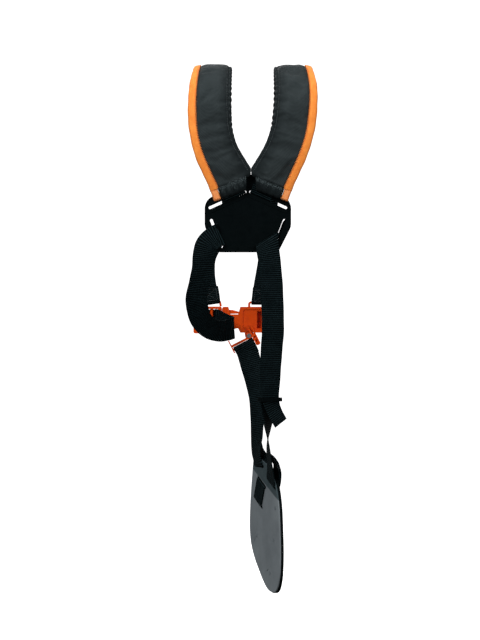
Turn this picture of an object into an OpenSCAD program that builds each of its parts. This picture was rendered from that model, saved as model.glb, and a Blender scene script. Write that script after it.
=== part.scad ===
// Double shoulder harness for a brush cutter: two padded shoulder straps on a
// moulded back plate, a three-way chest buckle, and a hip plate with a snap hook.
// +X is the wearer's right, +Y the wearer's front, +Z is up. The origin is midway
// between the shoulders, level with the underside of the pads. Millimetres.

/* [Webbing] */
// Width of all the webbing
web_w = 40; // [38:0.5:41]
// Thickness of one layer of webbing
web_t = 1.8; // [1.4:0.1:2]

/* [Shoulder pads] */
// Width of a pad
pad_w = 75; // [72:1:78]
// Thickness of a pad in the middle
pad_t = 14; // [11:1:14]
// Thickness of the cover fabric
cover_t = 1.2; // [0.8:0.1:1.6]
// Width of the coloured edging on the outer side
edging_w = 13; // [10:1:15]
// How far the lower ends of the pads hang to the wearer's left
pad_sway = 4; // [3:0.5:5]

/* [Back plate] */
// Thickness of the plate
plate_t = 4; // [3:0.5:4]
// Height of the rim and ribs on its outer face
rib_h = 1; // [0.5:0.25:1]
// Width of the webbing slots
slot_w = 5; // [4.5:0.5:5.5]

/* [Chest buckle] */
// Height of the buckle
buckle_h = 48; // [47:1:50]
// Thickness of the housing
housing_t = 18; // [17:0.5:18]
// Diameter of the two upper loops
loop_d = 4; // [3.5:0.25:4.5]

/* [Hip plate] */
// Turn of the hip plate about the vertical, from facing the wearer's side
hip_turn = 69; // [66:1:72]
// Thickness of the outer shell
shell_t = 5; // [4:0.5:5]
// Thickness of the inner liner
liner_t = 2.5; // [2:0.5:3]

/* [Snap hook] */
// Diameter of the hook's bar
hook_d = 7; // [6:0.5:7]
// Radius of the hook's bowl, to the middle of the bar
bowl_r = 12; // [11:0.5:12]
// Diameter of the D-ring's wire
ring_d = 5; // [4:0.5:5]

/* [Hidden] */
$fn = 32;
gap = 0.3;
webbing = "#15181a";
fabric = "#24282a";
orange = "#f26a10";

// ---- vectors, curves and swept bands ----
function unit(v) = v / norm(v);
function curve(a, b, c, d, t) =
    0.5 * (2 * b + (c - a) * t + (2 * a - 5 * b + 4 * c - d) * t * t + (3 * b - a - 3 * c + d) * t * t * t);

// A route is a list of [point, across direction]. This adds k steps between each pair.
function smooth(route, k, free = false) = concat(
    [for (i = [0:len(route) - 2], j = [0:k - 1])
        let (a = route[max(i - 1, 0)], b = route[i], c = route[i + 1], d = route[min(i + 2, len(route) - 1)])
        let (across = curve(a[1], b[1], c[1], d[1], j / k))
        [curve(a[0], b[0], c[0], d[0], j / k), free ? across : unit(across)]],
    [route[len(route) - 1]]);

// Points of one ring of a sweep: the profile is [across, out] pairs.
function ring_at(line, i, profile) =
    let (
        ahead = line[min(i + 1, len(line) - 1)][0],
        behind = line[max(i - 1, 0)][0],
        along = unit(ahead - behind),
        out = unit(cross(along, line[i][1])),
        across = cross(out, along))
    [for (p = profile) line[i][0] + across * p[0] + out * p[1]];

// The same, with the across directions taken as they are given.
function free_ring_at(line, i, profile) =
    let (
        along = line[min(i + 1, len(line) - 1)][0] - line[max(i - 1, 0)][0],
        out = unit(cross(along, line[i][1])))
    [for (p = profile) line[i][0] + line[i][1] * p[0] + out * p[1]];

// Sweeps the profile over the line's rings from first to last.
module sweep(line, profile, free = false, first = 0, last = undef) {
    n = len(profile);
    stop = is_undef(last) ? len(line) - 1 : last;
    rings = stop - first + 1;
    points = [for (i = [first:stop]) each free ? free_ring_at(line, i, profile) : ring_at(line, i, profile)];
    sides = [for (i = [0:rings - 2], j = [0:n - 1])
        let (a = i * n + j, b = i * n + (j + 1) % n)
        each [[a, a + n, b + n], [a, b + n, b]]];
    ends = [[for (j = [0:n - 1]) j], [for (j = [n - 1:-1:0]) (rings - 1) * n + j]];
    polyhedron(points, concat(sides, ends), convexity = 10);
}

function band(w, t) = [[-w / 2, -t / 2], [w / 2, -t / 2], [w / 2, t / 2], [-w / 2, t / 2]];

module strap(route, steps = 4, free = false) {
    color(webbing) sweep(smooth(route, steps, free), band(web_w, web_t), free);
}

// A polygon with each corner rounded by a curve that leaves it at the given distance.
function rounded(points, cut, n = 5) = [
    for (i = [0:len(points) - 1])
        let (
            p = points[i],
            before = points[(i + len(points) - 1) % len(points)],
            after = points[(i + 1) % len(points)],
            a = p + unit(before - p) * cut,
            b = p + unit(after - p) * cut)
        for (j = [0:n]) let (t = j / n) (1 - t) * (1 - t) * a + 2 * t * (1 - t) * p + t * t * b];

// A smooth closed outline through the given points.
function closed(points, k) = [
    for (i = [0:len(points) - 1], j = [0:k - 1])
        let (n = len(points))
        curve(points[(i + n - 1) % n], points[i], points[(i + 1) % n], points[(i + 2) % n], j / k)];

// A flat shape drawn in X and Z, extruded from y_low to y_high.
module upright(y_low, y_high) {
    translate([0, y_high, 0]) rotate([90, 0, 0]) linear_extrude(y_high - y_low) children();
}

// A slot with round ends, from a to b.
module slot_shape(a, b, w) {
    turn = atan2(b[1] - a[1], b[0] - a[0]);
    n = 8;
    polygon(concat(
        [for (i = [0:n]) a + w / 2 * [cos(turn + 90 + 180 * i / n), sin(turn + 90 + 180 * i / n)]],
        [for (i = [0:n]) b + w / 2 * [cos(turn - 90 + 180 * i / n), sin(turn - 90 + 180 * i / n)]]));
}

module both_sides() {
    children();
    mirror([1, 0]) children();
}

// ---- back plate ----
plate_x = -9.5;
plate_y = -83;
plate_top = -201.5;
plate_bottom = -328.5;
plate_half_w = 77;
slope = 0.45;
slope_angle = atan(slope);
plate_out = plate_y - plate_t;
bar_drop = 17.1;
upper_slot = [[-5, plate_top - bar_drop - 5 * slope], [-67.5, plate_top - bar_drop - 67.5 * slope]];
lower_slot = [[-65, -271.5], [-47, -318]];
apex_x = 5;
apex_rise = 13;
plate_corners = [
    [apex_x, plate_top + apex_rise], [-71, plate_top - 71 * slope], [-plate_half_w, -245],
    [-plate_half_w, -283], [-54, plate_bottom], [54, plate_bottom], [plate_half_w, -283],
    [plate_half_w, -245],
    [71, plate_top - 71 * slope]];
rib_drop = 8.8;
rib_w = 2.6;
rim_w = 2.4;
corner_cut = 6;

module plate_outline(inset = 0) {
    scale_x = (plate_half_w - inset) / plate_half_w;
    middle = (plate_top + plate_bottom) / 2;
    scale_z = (plate_top - plate_bottom - 2 * inset) / (plate_top - plate_bottom);
    shrunk = [for (p = plate_corners) [p[0] * scale_x, middle + (p[1] - middle) * scale_z]];
    polygon(rounded(shrunk, corner_cut));
}

module plate_slots(grow = 0) {
    both_sides() {
        slot_shape(upper_slot[0], upper_slot[1], slot_w + grow);
        slot_shape(lower_slot[0], lower_slot[1], slot_w + grow);
    }
}

module chevron_rib() {
    both_sides() {
        below = [0, -rib_drop];
        slot_shape([0, plate_top - bar_drop - rib_drop], upper_slot[1] + below, rib_w);
        slot_shape(upper_slot[1] + below, upper_slot[1] + [-6.5, -1], rib_w);
    }
}

module back_plate() {
    color("#0b1113") translate([plate_x, 0, 0]) {
        upright(plate_out, plate_y) difference() {
            plate_outline();
            plate_slots();
        }
        upright(plate_out - rib_h, plate_out) difference() {
            union() {
                difference() {
                    plate_outline();
                    plate_outline(rim_w);
                }
                chevron_rib();
            }
            plate_slots();
            both_sides() slot_shape(lower_slot[0], lower_slot[1], slot_w + 22);
        }
    }
}

// ---- shoulder pads ----
// The left pad from its lower end at the back, over the shoulder, to its end on the chest.
// Its first stretch is the wrapped end.
pad_route = [
    [[-29, -94, -227], [0.93, 0, 0.36]],
    [[-38, -97, -203], [0.91, 0, 0.41]],
    [[-48.5, -99, -180], [0.92, 0, 0.39]],
    [[-60.5, -100, -153], [0.94, 0, 0.34]],
    [[-69, -100, -129], [0.97, 0, 0.24]],
    [[-74.5, -98, -104], [0.99, 0, 0.13]],
    [[-77.5, -92, -68], [1, 0, 0.04]],
    [[-78.5, -78, -36], [1, 0, 0]],
    [[-78, -46, -6], [1, 0, 0]],
    [[-77.5, 0, 7], [1, 0, 0]],
    [[-78, 46, -6], [1, 0, 0]],
    [[-78.5, 78, -36], [1, 0, 0]],
    [[-77.5, 92, -68], [1, 0, 0]],
    [[-73.5, 98, -104], [0.99, 0, -0.1]],
    [[-60.5, 99, -146], [0.96, 0, -0.28]]];
pad_steps = 3;
inner_end = 8.6;
fill_gap = 0.3;
seam_gap = 0.05;

function sway(z) = -pad_sway * min(1, max(0, (-z - 40) / 110));
function pad_line(side) = smooth([for (s = pad_route)
    [[side * -s[0][0] + sway(s[0][2]), s[0][1], s[0][2]], [side * -s[1][0], s[1][1], s[1][2]]]],
    pad_steps);

// Half the pad's thickness at a distance across it.
function half_thick(a, inset) = (pad_t / 2 - 2.4) * pow(1 - pow(abs(a) / (pad_w / 2), 4), 0.5) + 2.4 - inset;
function pad_profile(from, to, inset = 0) = let (n = 7) concat(
    [for (i = [0:n]) let (a = from + (to - from) * i / n) [a, -half_thick(a, inset)]],
    [for (i = [n:-1:0]) let (a = from + (to - from) * i / n) [a, half_thick(a, inset)]]);

edging_in = -pad_w / 2 + edging_w;

// Takes off what would come nearer than keep to the middle between the two pads.
module trimmed(side, keep = 0.3) {
    difference() {
        children();
        translate([-pad_sway - 30 + side * (keep - 30), -130, -260]) cube([60, 60, 90]);
    }
}

module pad_cover(side) {
    line = pad_line(side);
    color(fabric) trimmed(side) difference() {
        sweep(line, pad_profile(edging_in, pad_w / 2), first = pad_steps);
        sweep(line, pad_profile(edging_in + cover_t, pad_w / 2 - cover_t, cover_t),
            first = pad_steps + 1, last = len(line) - 2);
    }
}

module pad_foam(side) {
    line = pad_line(side);
    inset = cover_t + fill_gap;
    color("#5a5f62") trimmed(side, 0.3 + inset)
        sweep(line, pad_profile(edging_in + inset, pad_w / 2 - inset, inset),
            first = pad_steps + 2, last = len(line) - 3);
}

module pad_edging(side) {
    color(orange) sweep(pad_line(side), pad_profile(-pad_w / 2, edging_in - seam_gap));
}

module pad_end_wrap(side) {
    line = pad_line(side);
    color("#1b1f21") trimmed(side, inner_end)
        sweep(line, pad_profile(edging_in, pad_w / 2), last = pad_steps);
}

anchor_out = 22.5;

// The webbing that joins a pad to the plate: out of the pad, through the slot, up behind
// the plate's top bar and over it, back into the pad.
function anchor_route(side) =
    let (
        right = [cos(slope_angle) * -side, 0, sin(slope_angle)],
        up = [sin(slope_angle) * side, 0, cos(slope_angle)],
        mid = [plate_x + side * anchor_out, 0, plate_top - bar_drop - anchor_out * slope])
    [for (p = [[14, plate_out - 6], [5, plate_out - 3.4], [0.4, plate_out - 1.6], [-1.1, plate_out + 1],
               [-1.1, plate_y - 1], [0.6, plate_y + 2.1], [8, plate_y + 2.6], [24, plate_y + 2.4],
               [31, plate_y + 1], [34, plate_y - 2], [36, plate_out - 3], [42, plate_out - 8]])
        [mid + up * p[0] + [0, p[1], 0], right]];

module pad_anchor(side) {
    strap(anchor_route(side), 3);
}

// ---- webbing ----
left_front_route = [
    [[-66, 99, -138], [0.96, 0, 0.28]],
    [[-60, 99, -164], [0.95, 0.2, 0.24]],
    [[-50, 101, -194], [0.75, 0.6, 0.2]],
    [[-45, 102, -228], [0.6, 0.8, 0]],
    [[-49, 101, -264], [0.6, 0.8, -0.1]],
    [[-68, 99, -298], [0.72, 0.6, -0.3]],
    [[-84, 97, -328], [0.8, 0.5, -0.25]],
    [[-89, 94, -353], [0.9, 0.4, 0]],
    [[-87, 91, -385], [0.97, 0.2, 0.12]],
    [[-81, 89, -408], [1, 0.02, 0.14]],
    [[-80, 88.2, -415.5], [1, 0, 0.14]],
    [[-79.8, 84.9, -419.7], [1, 0, 0.14]],
    [[-80, 81.4, -416], [1, 0, 0.14]],
    [[-81, 81.4, -408], [1, 0, 0.14]],
    [[-84, 84.4, -388], [0.98, 0.18, 0.12]]];

right_front_route = [
    [[58, 99, -138], [0.96, 0, -0.28]],
    [[52, 99, -165], [0.95, -0.2, -0.24]],
    [[36, 101, -206], [0.75, -0.6, -0.2]],
    [[29, 101, -262], [0.75, -0.6, 0]],
    [[31, 98, -320], [0.9, -0.35, 0]],
    [[25, 94, -365], [0.97, -0.15, 0.05]],
    [[20, 90, -398], [1, 0, 0]],
    [[18.4, 88.7, -410], [1, 0, 0]],
    [[18, 88.6, -415.8], [1, 0, 0]],
    [[18, 87.6, -418.7], [1, 0, 0]],
    [[18, 85, -419.8], [1, 0, 0]],
    [[18, 82.4, -418.7], [1, 0, 0]],
    [[18, 81.4, -415.8], [1, 0, 0]],
    [[18.4, 81.3, -408], [1, 0, 0]],
    [[20, 85.4, -390], [1, 0, 0]]];

// From behind the plate, round the bar outside its lower left slot, down the wearer's left,
// forward to the chest, round a fold and into the ladder of the buckle's insert.
side_route = [
    [[-74, -79.7, -302.4], [0.36, 0, -0.93]],
    [[-69, -80.2, -300.4], [0.36, 0, -0.93]],
    [[-64.9, -82.6, -298.4], [0.36, 0, -0.93]],
    [[-63.6, -86.4, -298], [0.36, 0, -0.93]],
    [[-60.5, -89.8, -297], [0.38, 0, -0.92]],
    [[-58.8, -91.6, -297], [0.38, 0, -0.92]],
    [[-60.6, -93.4, -298], [0.38, 0, -0.92]],
    [[-67.6, -94.2, -301], [0.42, 0, -0.91]],
    [[-76, -94.6, -307], [0.55, 0, -0.83]],
    [[-83.6, -95, -317], [0.75, 0.1, -0.65]],
    [[-88, -93, -335], [0.9, 0.3, -0.3]],
    [[-90.5, -87, -356], [0.93, 0.36, -0.02]],
    [[-95.5, -79, -380], [0.93, 0.34, -0.05]],
    [[-101.3, -66, -406], [0.96, 0.26, 0]],
    [[-99.9, -52, -428], [0.95, 0.16, 0.2]],
    [[-94.5, -36, -446], [0.88, 0.05, 0.45]],
    [[-85.4, -17, -459], [0.78, 0, 0.62]],
    [[-72.3, 1, -467], [0.6, 0, 0.8]],
    [[-57.3, 18, -469.5], [0.38, 0, 0.92]],
    [[-44.5, 31, -466.5], [0.12, 0, 0.99]],
    [[-37.2, 37, -464], [0, 0, 1]],
    [[-34.8, 41, -463], [0, 0, 1]],
    [[-37, 46, -462.5], [0, 0, 1]],
    [[-45, 55, -459.5], [-0.06, 0, 1]],
    [[-56, 68, -454], [-0.12, 0, 1]],
    [[-66.5, 79.5, -449], [-0.02, 0, 1]],
    [[-70.4, 89.5, -449], [0, 0, 1]],
    [[-76, 92.4, -449], [0, 0, 1]],
    [[-81.6, 89.5, -449], [0, 0, 1]],
    [[-86.6, 79, -449.2], [0, 0, 1]],
    [[-95, 70, -454], [0, 0, 1]]];

// ---- hip plate frame: local x runs from the wearer's front to back, y outwards, z up ----
hip_at = [23.5, 0, -819];
hip_x = [cos(hip_turn), -sin(hip_turn), 0];
hip_y = [sin(hip_turn), cos(hip_turn), 0];
function from_hip(p) = hip_at + hip_x * p[0] + hip_y * p[1] + [0, 0, p[2]];
function turned(v) = hip_x * v[0] + hip_y * v[1] + [0, 0, v[2]];
function in_hip(route) = [for (s = route) [from_hip(s[0]), turned(s[1])]];
module on_hip() {
    translate(hip_at) rotate([0, 0, -hip_turn]) children();
}

// From behind the plate through its lower right slot, over a fold, down the wearer's right
// to the slider, and on as the loose tail.
// Its first entries gather the band in the slot and then carry a fold that lies aslant,
// so their across directions are neither square to the band nor of unit length.
rear_route = [
    [[58, -79.6, -284], [0.36, 0, 0.93]],
    [[52.5, -79.8, -285.5], [0.36, 0, 0.93]],
    [[47.6, -80.2, -290.5], [0.34, 0, 0.88]],
    [[44.4, -81.4, -301.5], [0.26, 0, 0.66]],
    [[43.1, -83.6, -305.5], [0.22, 0, 0.56]],
    [[42, -87.2, -305.4], [0.22, 0, 0.56]],
    [[38.6, -89.6, -305.2], [0.27, 0, 0.58]],
    [[33, -90.2, -306], [0.55, 0, 0.62]],
    [[26, -90.6, -307.6], [0.94, 0, 0.61]],
    [[23, -92.6, -305.9], [0.94, 0, 0.61]],
    [[24.4, -95, -308.4], [0.94, 0, 0.6]],
    [[25.4, -95.6, -317], [0.97, 0, 0.42]],
    [[27, -95.6, -330], [1, 0, 0.2]],
    [[29.5, -94.5, -350], [1, 0, 0.05]],
    [[32.5, -90, -385], [1, 0.05, 0]],
    [[34.5, -85, -420], [1, 0.1, 0]],
    [[35.1, -79, -465], [1, 0.1, 0]],
    [[32.9, -72, -503], [0.98, 0.15, 0]],
    [[30.9, -64, -545], [0.94, 0.3, -0.05]],
    [[29.6, -58, -583], [0.84, 0.54, 0]],
    [[35.3, -56.5, -605], [0.62, 0.72, 0.28]],
    [[42.2, -58, -620], [0.54, 0.76, 0.34]],
    [[50, -60, -634], [0.52, 0.78, 0.36]]];

// From the slider down inside the hip plate, out through its rear slot and back up.
rear_loop_route = in_hip([
    [[50.4, -13.5, 236], [0.3, -0.9, 0]],
    [[49.5, -13.5, 222], [0.3, -0.9, 0]],
    [[48, -14, 200], [0.5, -0.8, 0]],
    [[47, -14.5, 175], [0.8, -0.6, 0]],
    [[46.5, -14, 148], [0.95, -0.3, -0.05]],
    [[43, -10.5, 119], [0.95, -0.15, -0.25]],
    [[38.5, -6, 95], [0.92, -0.05, -0.38]],
    [[35, -4.4, 82], [0.92, 0, -0.39]],
    [[32.5, -3.2, 75.6], [0.92, 0, -0.39]],
    [[31.6, 1, 73.4], [0.92, 0, -0.39]],
    [[32.4, 5.9, 75.4], [0.92, 0, -0.39]],
    [[35, 7, 82], [0.92, 0, -0.39]],
    [[39, 6.8, 92], [0.92, 0, -0.38]],
    [[44, 4.6, 104], [0.93, 0, -0.35]],
    [[46.4, -1.6, 115], [0.94, 0.1, -0.3]],
    [[47.6, -7.4, 127], [0.95, -0.1, -0.2]]]);

// ---- frame of the chest buckle's lower link: u along its rail, d towards the strap ----
link_turn = 27;
link_at = [-17.6, -487.2];
link_y = 71.5;
function from_link(u, d, y) = [
    link_at[0] + u * cos(link_turn) + d * sin(link_turn), link_y + y,
    link_at[1] + u * sin(link_turn) - d * cos(link_turn)];
rail_way = [cos(link_turn), 0, sin(link_turn)];
strap_shift = -2.6;

// From the lower link of the chest buckle down to the hip plate's front slot and back up.
front_route = concat(
    [for (p = [[30, 1.4], [20, 3.2], [11.2, 4], [7.2, 3.8], [4.4, 2.8], [3.4, 0], [4.4, -2.8],
               [7.2, -3.8], [11.2, -4], [22, -3.4]])
        [from_link(strap_shift, p[0], p[1]), rail_way]], [
    [[-3, 66, -530], [0.9, 0.1, 0.4]],
    [[5, 62, -562], [0.88, -0.3, 0.3]],
    [[8.8, 56, -595], [0.75, -0.62, 0.15]],
    [[8.4, 50, -630], [0.6, -0.8, 0]],
    [[7.6, 44, -664], [0.5, -0.86, 0]]],
    in_hip([
    [[-34.5, -5, 125], [1, -0.05, 0]],
    [[-29.5, -4.4, 110], [1, 0, 0]],
    [[-28.6, -3.2, 104.2], [1, 0, 0]],
    [[-28.5, 1, 102.2], [1, 0, 0]],
    [[-28.6, 5.9, 104], [1, 0, 0]],
    [[-29, 7, 111], [1, 0, 0]],
    [[-31, 7, 122], [1, 0, 0]],
    [[-34, 1, 134], [1, 0, 0]],
    [[-38, -1.4, 146], [1, -0.05, 0]]]));

// A plain ring that both bands run through.
keeper_at = [30.3, -54.9, -592];
keeper_turn = 38;
module rear_strap_slider() {
    color("#101315") translate(keeper_at) rotate([0, 0, keeper_turn]) linear_extrude(7, center = true)
        difference() {
            polygon(rounded([[-23.4, -7.2], [-23.4, 8], [23.4, 8], [23.4, -7.2]], 2));
            translate([-21.5, -5.2]) square([43, 11.2]);
        }
}

// ---- chest buckle ----
buckle_x = 0;
buckle_y = 85;
buckle_z = -448.5;
mouth_x = -57;
body_end = 46;
wall_t = 3;
cavity_h = 33;
cavity_end = -14;
dip = [-45, -23];
prong_pivot = [-60.2, 13];
pivot_r = 2.4;
lug_at = [-7, -478];
pin_d = 4;

module dip_cut(edge, depth) {
    slant = 4;
    polygon([[dip[0] - 0.5, edge + 1], [dip[0] + slant, edge - depth], [dip[1] - slant, edge - depth],
        [dip[1] + 0.5, edge + 1]]);
}

module housing_outline() {
    half_h = buckle_h / 2;
    difference() {
        polygon(rounded([[mouth_x, -half_h], [mouth_x, half_h], [body_end, half_h], [body_end, -half_h]], 5));
        dip_cut(half_h, 14);
        mirror([0, 1]) dip_cut(half_h, 8);
    }
}

// A loop of round bar over the top edge at z_low, its bar as wide as a strap and some play.
module strap_loop(bar_w, bar_z, z_low) {
    r = 4;
    for (s = [-1, 1]) {
        translate([s * (bar_w / 2 + r), 0, z_low]) cylinder(h = bar_z - r - z_low, d = loop_d);
        translate([s * bar_w / 2, 0, bar_z - r]) rotate([90, s > 0 ? 0 : -90, 0])
            rotate_extrude(angle = 90) translate([r, 0]) circle(d = loop_d);
    }
    translate([-bar_w / 2, 0, bar_z]) rotate([0, 90, 0]) cylinder(h = bar_w, d = loop_d);
}

module buckle_housing() {
    half_t = housing_t / 2;
    half_h = buckle_h / 2;
    color(orange) translate([buckle_x, buckle_y, buckle_z]) {
        difference() {
            upright(-half_t, half_t) housing_outline();
            upright(-half_t + wall_t, half_t - wall_t) {
                translate([mouth_x - 1, -cavity_h / 2]) square([cavity_end - mouth_x + 1, cavity_h]);
                translate([dip[0], -half_h - 1]) square([dip[1] - dip[0], buckle_h + 2]);
            }
            upright(-half_t - 1, -half_t + 2) {
                polygon(rounded([[-18, -19], [-18, 19], [22, 19], [22, -19]], 4));
            }
            upright(-half_t, half_t - wall_t) translate([8, -16]) square([8, 32]);
            upright(-half_t - 1, half_t - wall_t)
                polygon(rounded([[25, -19], [25, 19], [41, 19], [41, -19]], 3));
        }
        translate([18, 0, 0]) strap_loop(41, 32.4, half_h - 2);
        upright(-half_t, -half_t + 6) difference() {
            hull() {
                translate([lug_at[0], lug_at[1] - buckle_z]) circle(r = 7);
                translate([lug_at[0] - 8, -half_h]) square([16, 2]);
            }
            translate([lug_at[0], lug_at[1] - buckle_z]) circle(d = pin_d + 0.1);
        }
    }
}

frame_z = -449;
frame_half_h = 25;
frame_out = -110;
frame_t = 8;
opening_h = 41;

module buckle_insert() {
    color(orange) translate([0, buckle_y, frame_z]) {
        difference() {
            upright(-frame_t / 2, frame_t / 2) difference() {
                polygon(rounded([[frame_out, -frame_half_h], [frame_out, frame_half_h],
                    [mouth_x - gap, frame_half_h], [mouth_x - gap, -frame_half_h]], 4));
                for (x = [[frame_out + 5, -94], [-89.5, -64.6]])
                    translate([x[0], -opening_h / 2]) square([x[1] - x[0], opening_h]);
            }
            for (s = [-1, 1]) translate([prong_pivot[0], 0, s * prong_pivot[1] + 0.5])
                rotate([90, 0, 0]) cylinder(h = frame_t + 2, r = pivot_r + gap, center = true);
            for (s = [-1, 1]) translate([prong_pivot[0], -frame_t, s * prong_pivot[1] + 0.5 - pivot_r - gap])
                cube([4, 2 * frame_t, 2 * (pivot_r + gap)]);
        }
        translate([-76, 1.6, -opening_h / 2 - 1]) cylinder(h = opening_h + 2, d = 5.6);
        translate([mouth_x - gap - 3, -4, -4]) cube([16, 8, 9]);
        translate([-80.5, -0.2, 0]) rotate([0, -8, 0]) strap_loop(41, 32.8, frame_half_h - 3);
    }
}

module prong_outline() {
    polygon([[0, -pivot_r], [12, -pivot_r], [26, -1.9], [38, -1.5], [39.4, -0.6], [38.6, 0.9], [23, 5.2],
        [17, 5.4], [16.2, 5], [15.8, pivot_r], [0, pivot_r]]);
    circle(r = pivot_r);
}

module prong(side) {
    color(orange) translate([prong_pivot[0], buckle_y, buckle_z + side * prong_pivot[1]])
        mirror([0, 0, side > 0 ? 0 : 1]) upright(-4, 4) prong_outline();
}

link_sides = [[19.2, -17.5, 20.5], [25.6, -17.5, 20.5], [-24.5, -12.5, 13]];
side_w = 2.2;
side_deep = 7.2;
bar_drop_link = 7.2;

// Local x runs along the rail and z away from the strap.
module lower_link() {
    reach = [lug_at[0] - link_at[0], lug_at[1] - link_at[1]];
    ear = [
        reach[0] * cos(link_turn) + reach[1] * sin(link_turn),
        reach[1] * cos(link_turn) - reach[0] * sin(link_turn)];
    color(orange) translate([link_at[0], link_y, link_at[1]]) rotate([0, -link_turn, 0]) difference() {
        union() {
            translate([0.6, 0, 0]) cube([52, 5.4, 4.4], center = true);
            translate([-24, 0, -bar_drop_link]) rotate([0, 90, 0]) cylinder(h = 50, d = 5);
            for (side = link_sides)
                translate([side[0], 0, (side[1] + side[2]) / 2 - 1])
                    cube([side_w, side_deep, side[2] - side[1]], center = true);
            translate([22.4, 2.6, -8]) cube([6, 2, 24], center = true);
            upright(-2.7, 2.7) hull() {
                translate(ear) circle(r = 5.5);
                translate([ear[0] - 7, -1]) square([14, 1]);
            }
        }
        translate([ear[0], 0, ear[1]]) rotate([90, 0, 0])
            cylinder(h = 20, d = pin_d + 2 * gap, center = true);
    }
}

module link_pin() {
    color("#b9bec1") translate([lug_at[0], link_y - 4.4, lug_at[1]]) rotate([-90, 0, 0]) {
        cylinder(h = 1.4, d = 8);
        cylinder(h = buckle_y - housing_t / 2 + 6 - link_y + 4.4, d = pin_d);
    }
}

// ---- hip plate ----
hip_outline = [
    [-52, 121], [-22, 117], [6, 110], [27, 100], [45, 85], [58, 65], [68, 34], [72, 0], [75, -36],
    [74.5, -68], [70, -95], [58, -116], [38, -123], [14, -119], [-8, -106], [-31, -87], [-52, -67],
    [-68, -44], [-74.7, -20], [-74.7, 10], [-70, 48], [-62, 88]];
front_slot = [[-49.5, 103], [-7.5, 103]];
rear_slot = [[12.9, 82.6], [51.1, 66.4]];
sling_slots = [[[-33, 82], [4, 65.5]], [[-50, 44], [-13, 27.5]]];
sling_tilt = -24;
small_slits = [[[-50, -37], [-46, -29]], [[12, -86], [18, -82]], [[-63, 35], [-62, 42]]];
slit_w = 1.6;
hip_h = 244;
hip_slot_w = 4.6;
rivets = [[-40, -25], [44, -25], [26, -88], [52, 32]];
rivet_d = 4;

module hip_shape(inset = 0) {
    difference() {
        scale((hip_h - 2 * inset) / hip_h) polygon(closed(hip_outline, 3));
        for (s = [front_slot, rear_slot]) slot_shape(s[0], s[1], hip_slot_w + inset);
        for (s = sling_slots) slot_shape(s[0], s[1], hip_slot_w + inset);
        for (s = small_slits) slot_shape(s[0], s[1], slit_w);
    }
}

module hip_plate_shell() {
    color("#0d1011") on_hip() difference() {
        upright(0, shell_t) hip_shape();
        for (p = rivets) translate([p[0], -1, p[1]]) rotate([-90, 0, 0])
            cylinder(h = shell_t + 2, d = rivet_d);
    }
}

module hip_plate_liner() {
    color("#666e70") on_hip() difference() {
        upright(-liner_t, 0) hip_shape(1.6);
        for (p = rivets) translate([p[0], -liner_t - 1, p[1]]) rotate([-90, 0, 0])
            cylinder(h = liner_t + 2, d = rivet_d);
    }
}

module hip_plate_rivets() {
    color("#26292b") on_hip() for (p = rivets) translate([p[0], 0, p[1]]) rotate([-90, 0, 0]) {
        translate([0, 0, -liner_t]) cylinder(h = liner_t + shell_t, d = rivet_d);
        translate([0, 0, shell_t]) cylinder(h = 1.2, d = 8);
        translate([0, 0, -liner_t - 0.6]) cylinder(h = 0.6, d = 7);
    }
}

// ---- snap hook on its sling ----
sling_way = [-0.409, 0, -0.913];
sling_across = [0.913, 0, -0.409];
sling_top = [-14.5, 0, 73.75];
sling_end = 70;
fold_out = 13;
ring_r = 23.5;
ring_tilt = 28;
function on_sling(s, out) = sling_top + sling_way * s + [0, out, 0];
sling_route = in_hip([for (p = [
    [14, 8.4], [38, 8.6], [54, 12.4], [64, 16.2], [69, 16.9], [72.6, 15.6], [74, 13], [72.6, 10.4], [69, 9.1],
    [60, 7.4], [50, 6.9], [46, 6.9], [43, 6], [41.7, 3.5], [41.4, 1], [41, -2.6], [39.2, -4], [32, -4],
    [20, -4], [8, -4], [3, -4], [0.4, -2.8], [0, 1], [0.3, 4.6], [1.6, 6.4], [5, 6.7], [10, 6.4], [22, 6.2]])
    [on_sling(p[0], p[1]), sling_across]]);

// The ring's own frame: x along its straight bar, y out of its plane, z up its middle.
ring_at = on_sling(sling_end, fold_out);
ring_down = sling_way * cos(ring_tilt) + [0, sin(ring_tilt), 0];
lowest = atan2(-ring_down[2], -sling_across[2]);
eye_at = ring_at + ring_r * (sling_across * cos(lowest) + ring_down * sin(lowest));
eye_along = ring_down * cos(lowest) - sling_across * sin(lowest);
hook_yaw = atan2(eye_along[1], eye_along[0]) - 180;
eye_r = 5.2;
eye_d = 3.6;
barrel_top = -9;
barrel_h = 11;
spine_top = -30;
foot_z = barrel_top - barrel_h - 3.4;
shank_d = 5;
foot_d = 8;
bowl_z = -52;
gate_pivot = [8, -25];
gate_end = -50;

module hook_sling() {
    color(webbing) sweep(smooth(sling_route, 3), band(web_w, web_t));
}

module d_ring() {
    color("#a9adb0") on_hip() translate(ring_at) multmatrix([
        [sling_across[0], 0, -sling_way[0], 0],
        [0, 1, 0, 0],
        [sling_across[2], 0, -sling_way[2], 0]]) rotate([ring_tilt, 0, 0]) {
        rotate([0, 90, 0]) cylinder(h = 2 * ring_r, d = ring_d, center = true);
        rotate([-90, 0, 0]) rotate_extrude(angle = 180) translate([ring_r, 0]) circle(d = ring_d);
        for (s = [-1, 1]) translate([s * ring_r, 0, 0]) sphere(d = ring_d);
    }
}

module at_eye() {
    on_hip() translate(eye_at) rotate([0, 0, hook_yaw]) children();
}

module swivel_eye() {
    color("#9da2a5") at_eye() {
        rotate([0, 90, 0]) rotate_extrude() translate([eye_r, 0]) circle(d = eye_d);
        translate([0, 0, foot_z]) cylinder(h = -eye_r - foot_z, d = shank_d);
        translate([0, 0, foot_z]) cylinder(h = 3, d = foot_d);
    }
}

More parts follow.
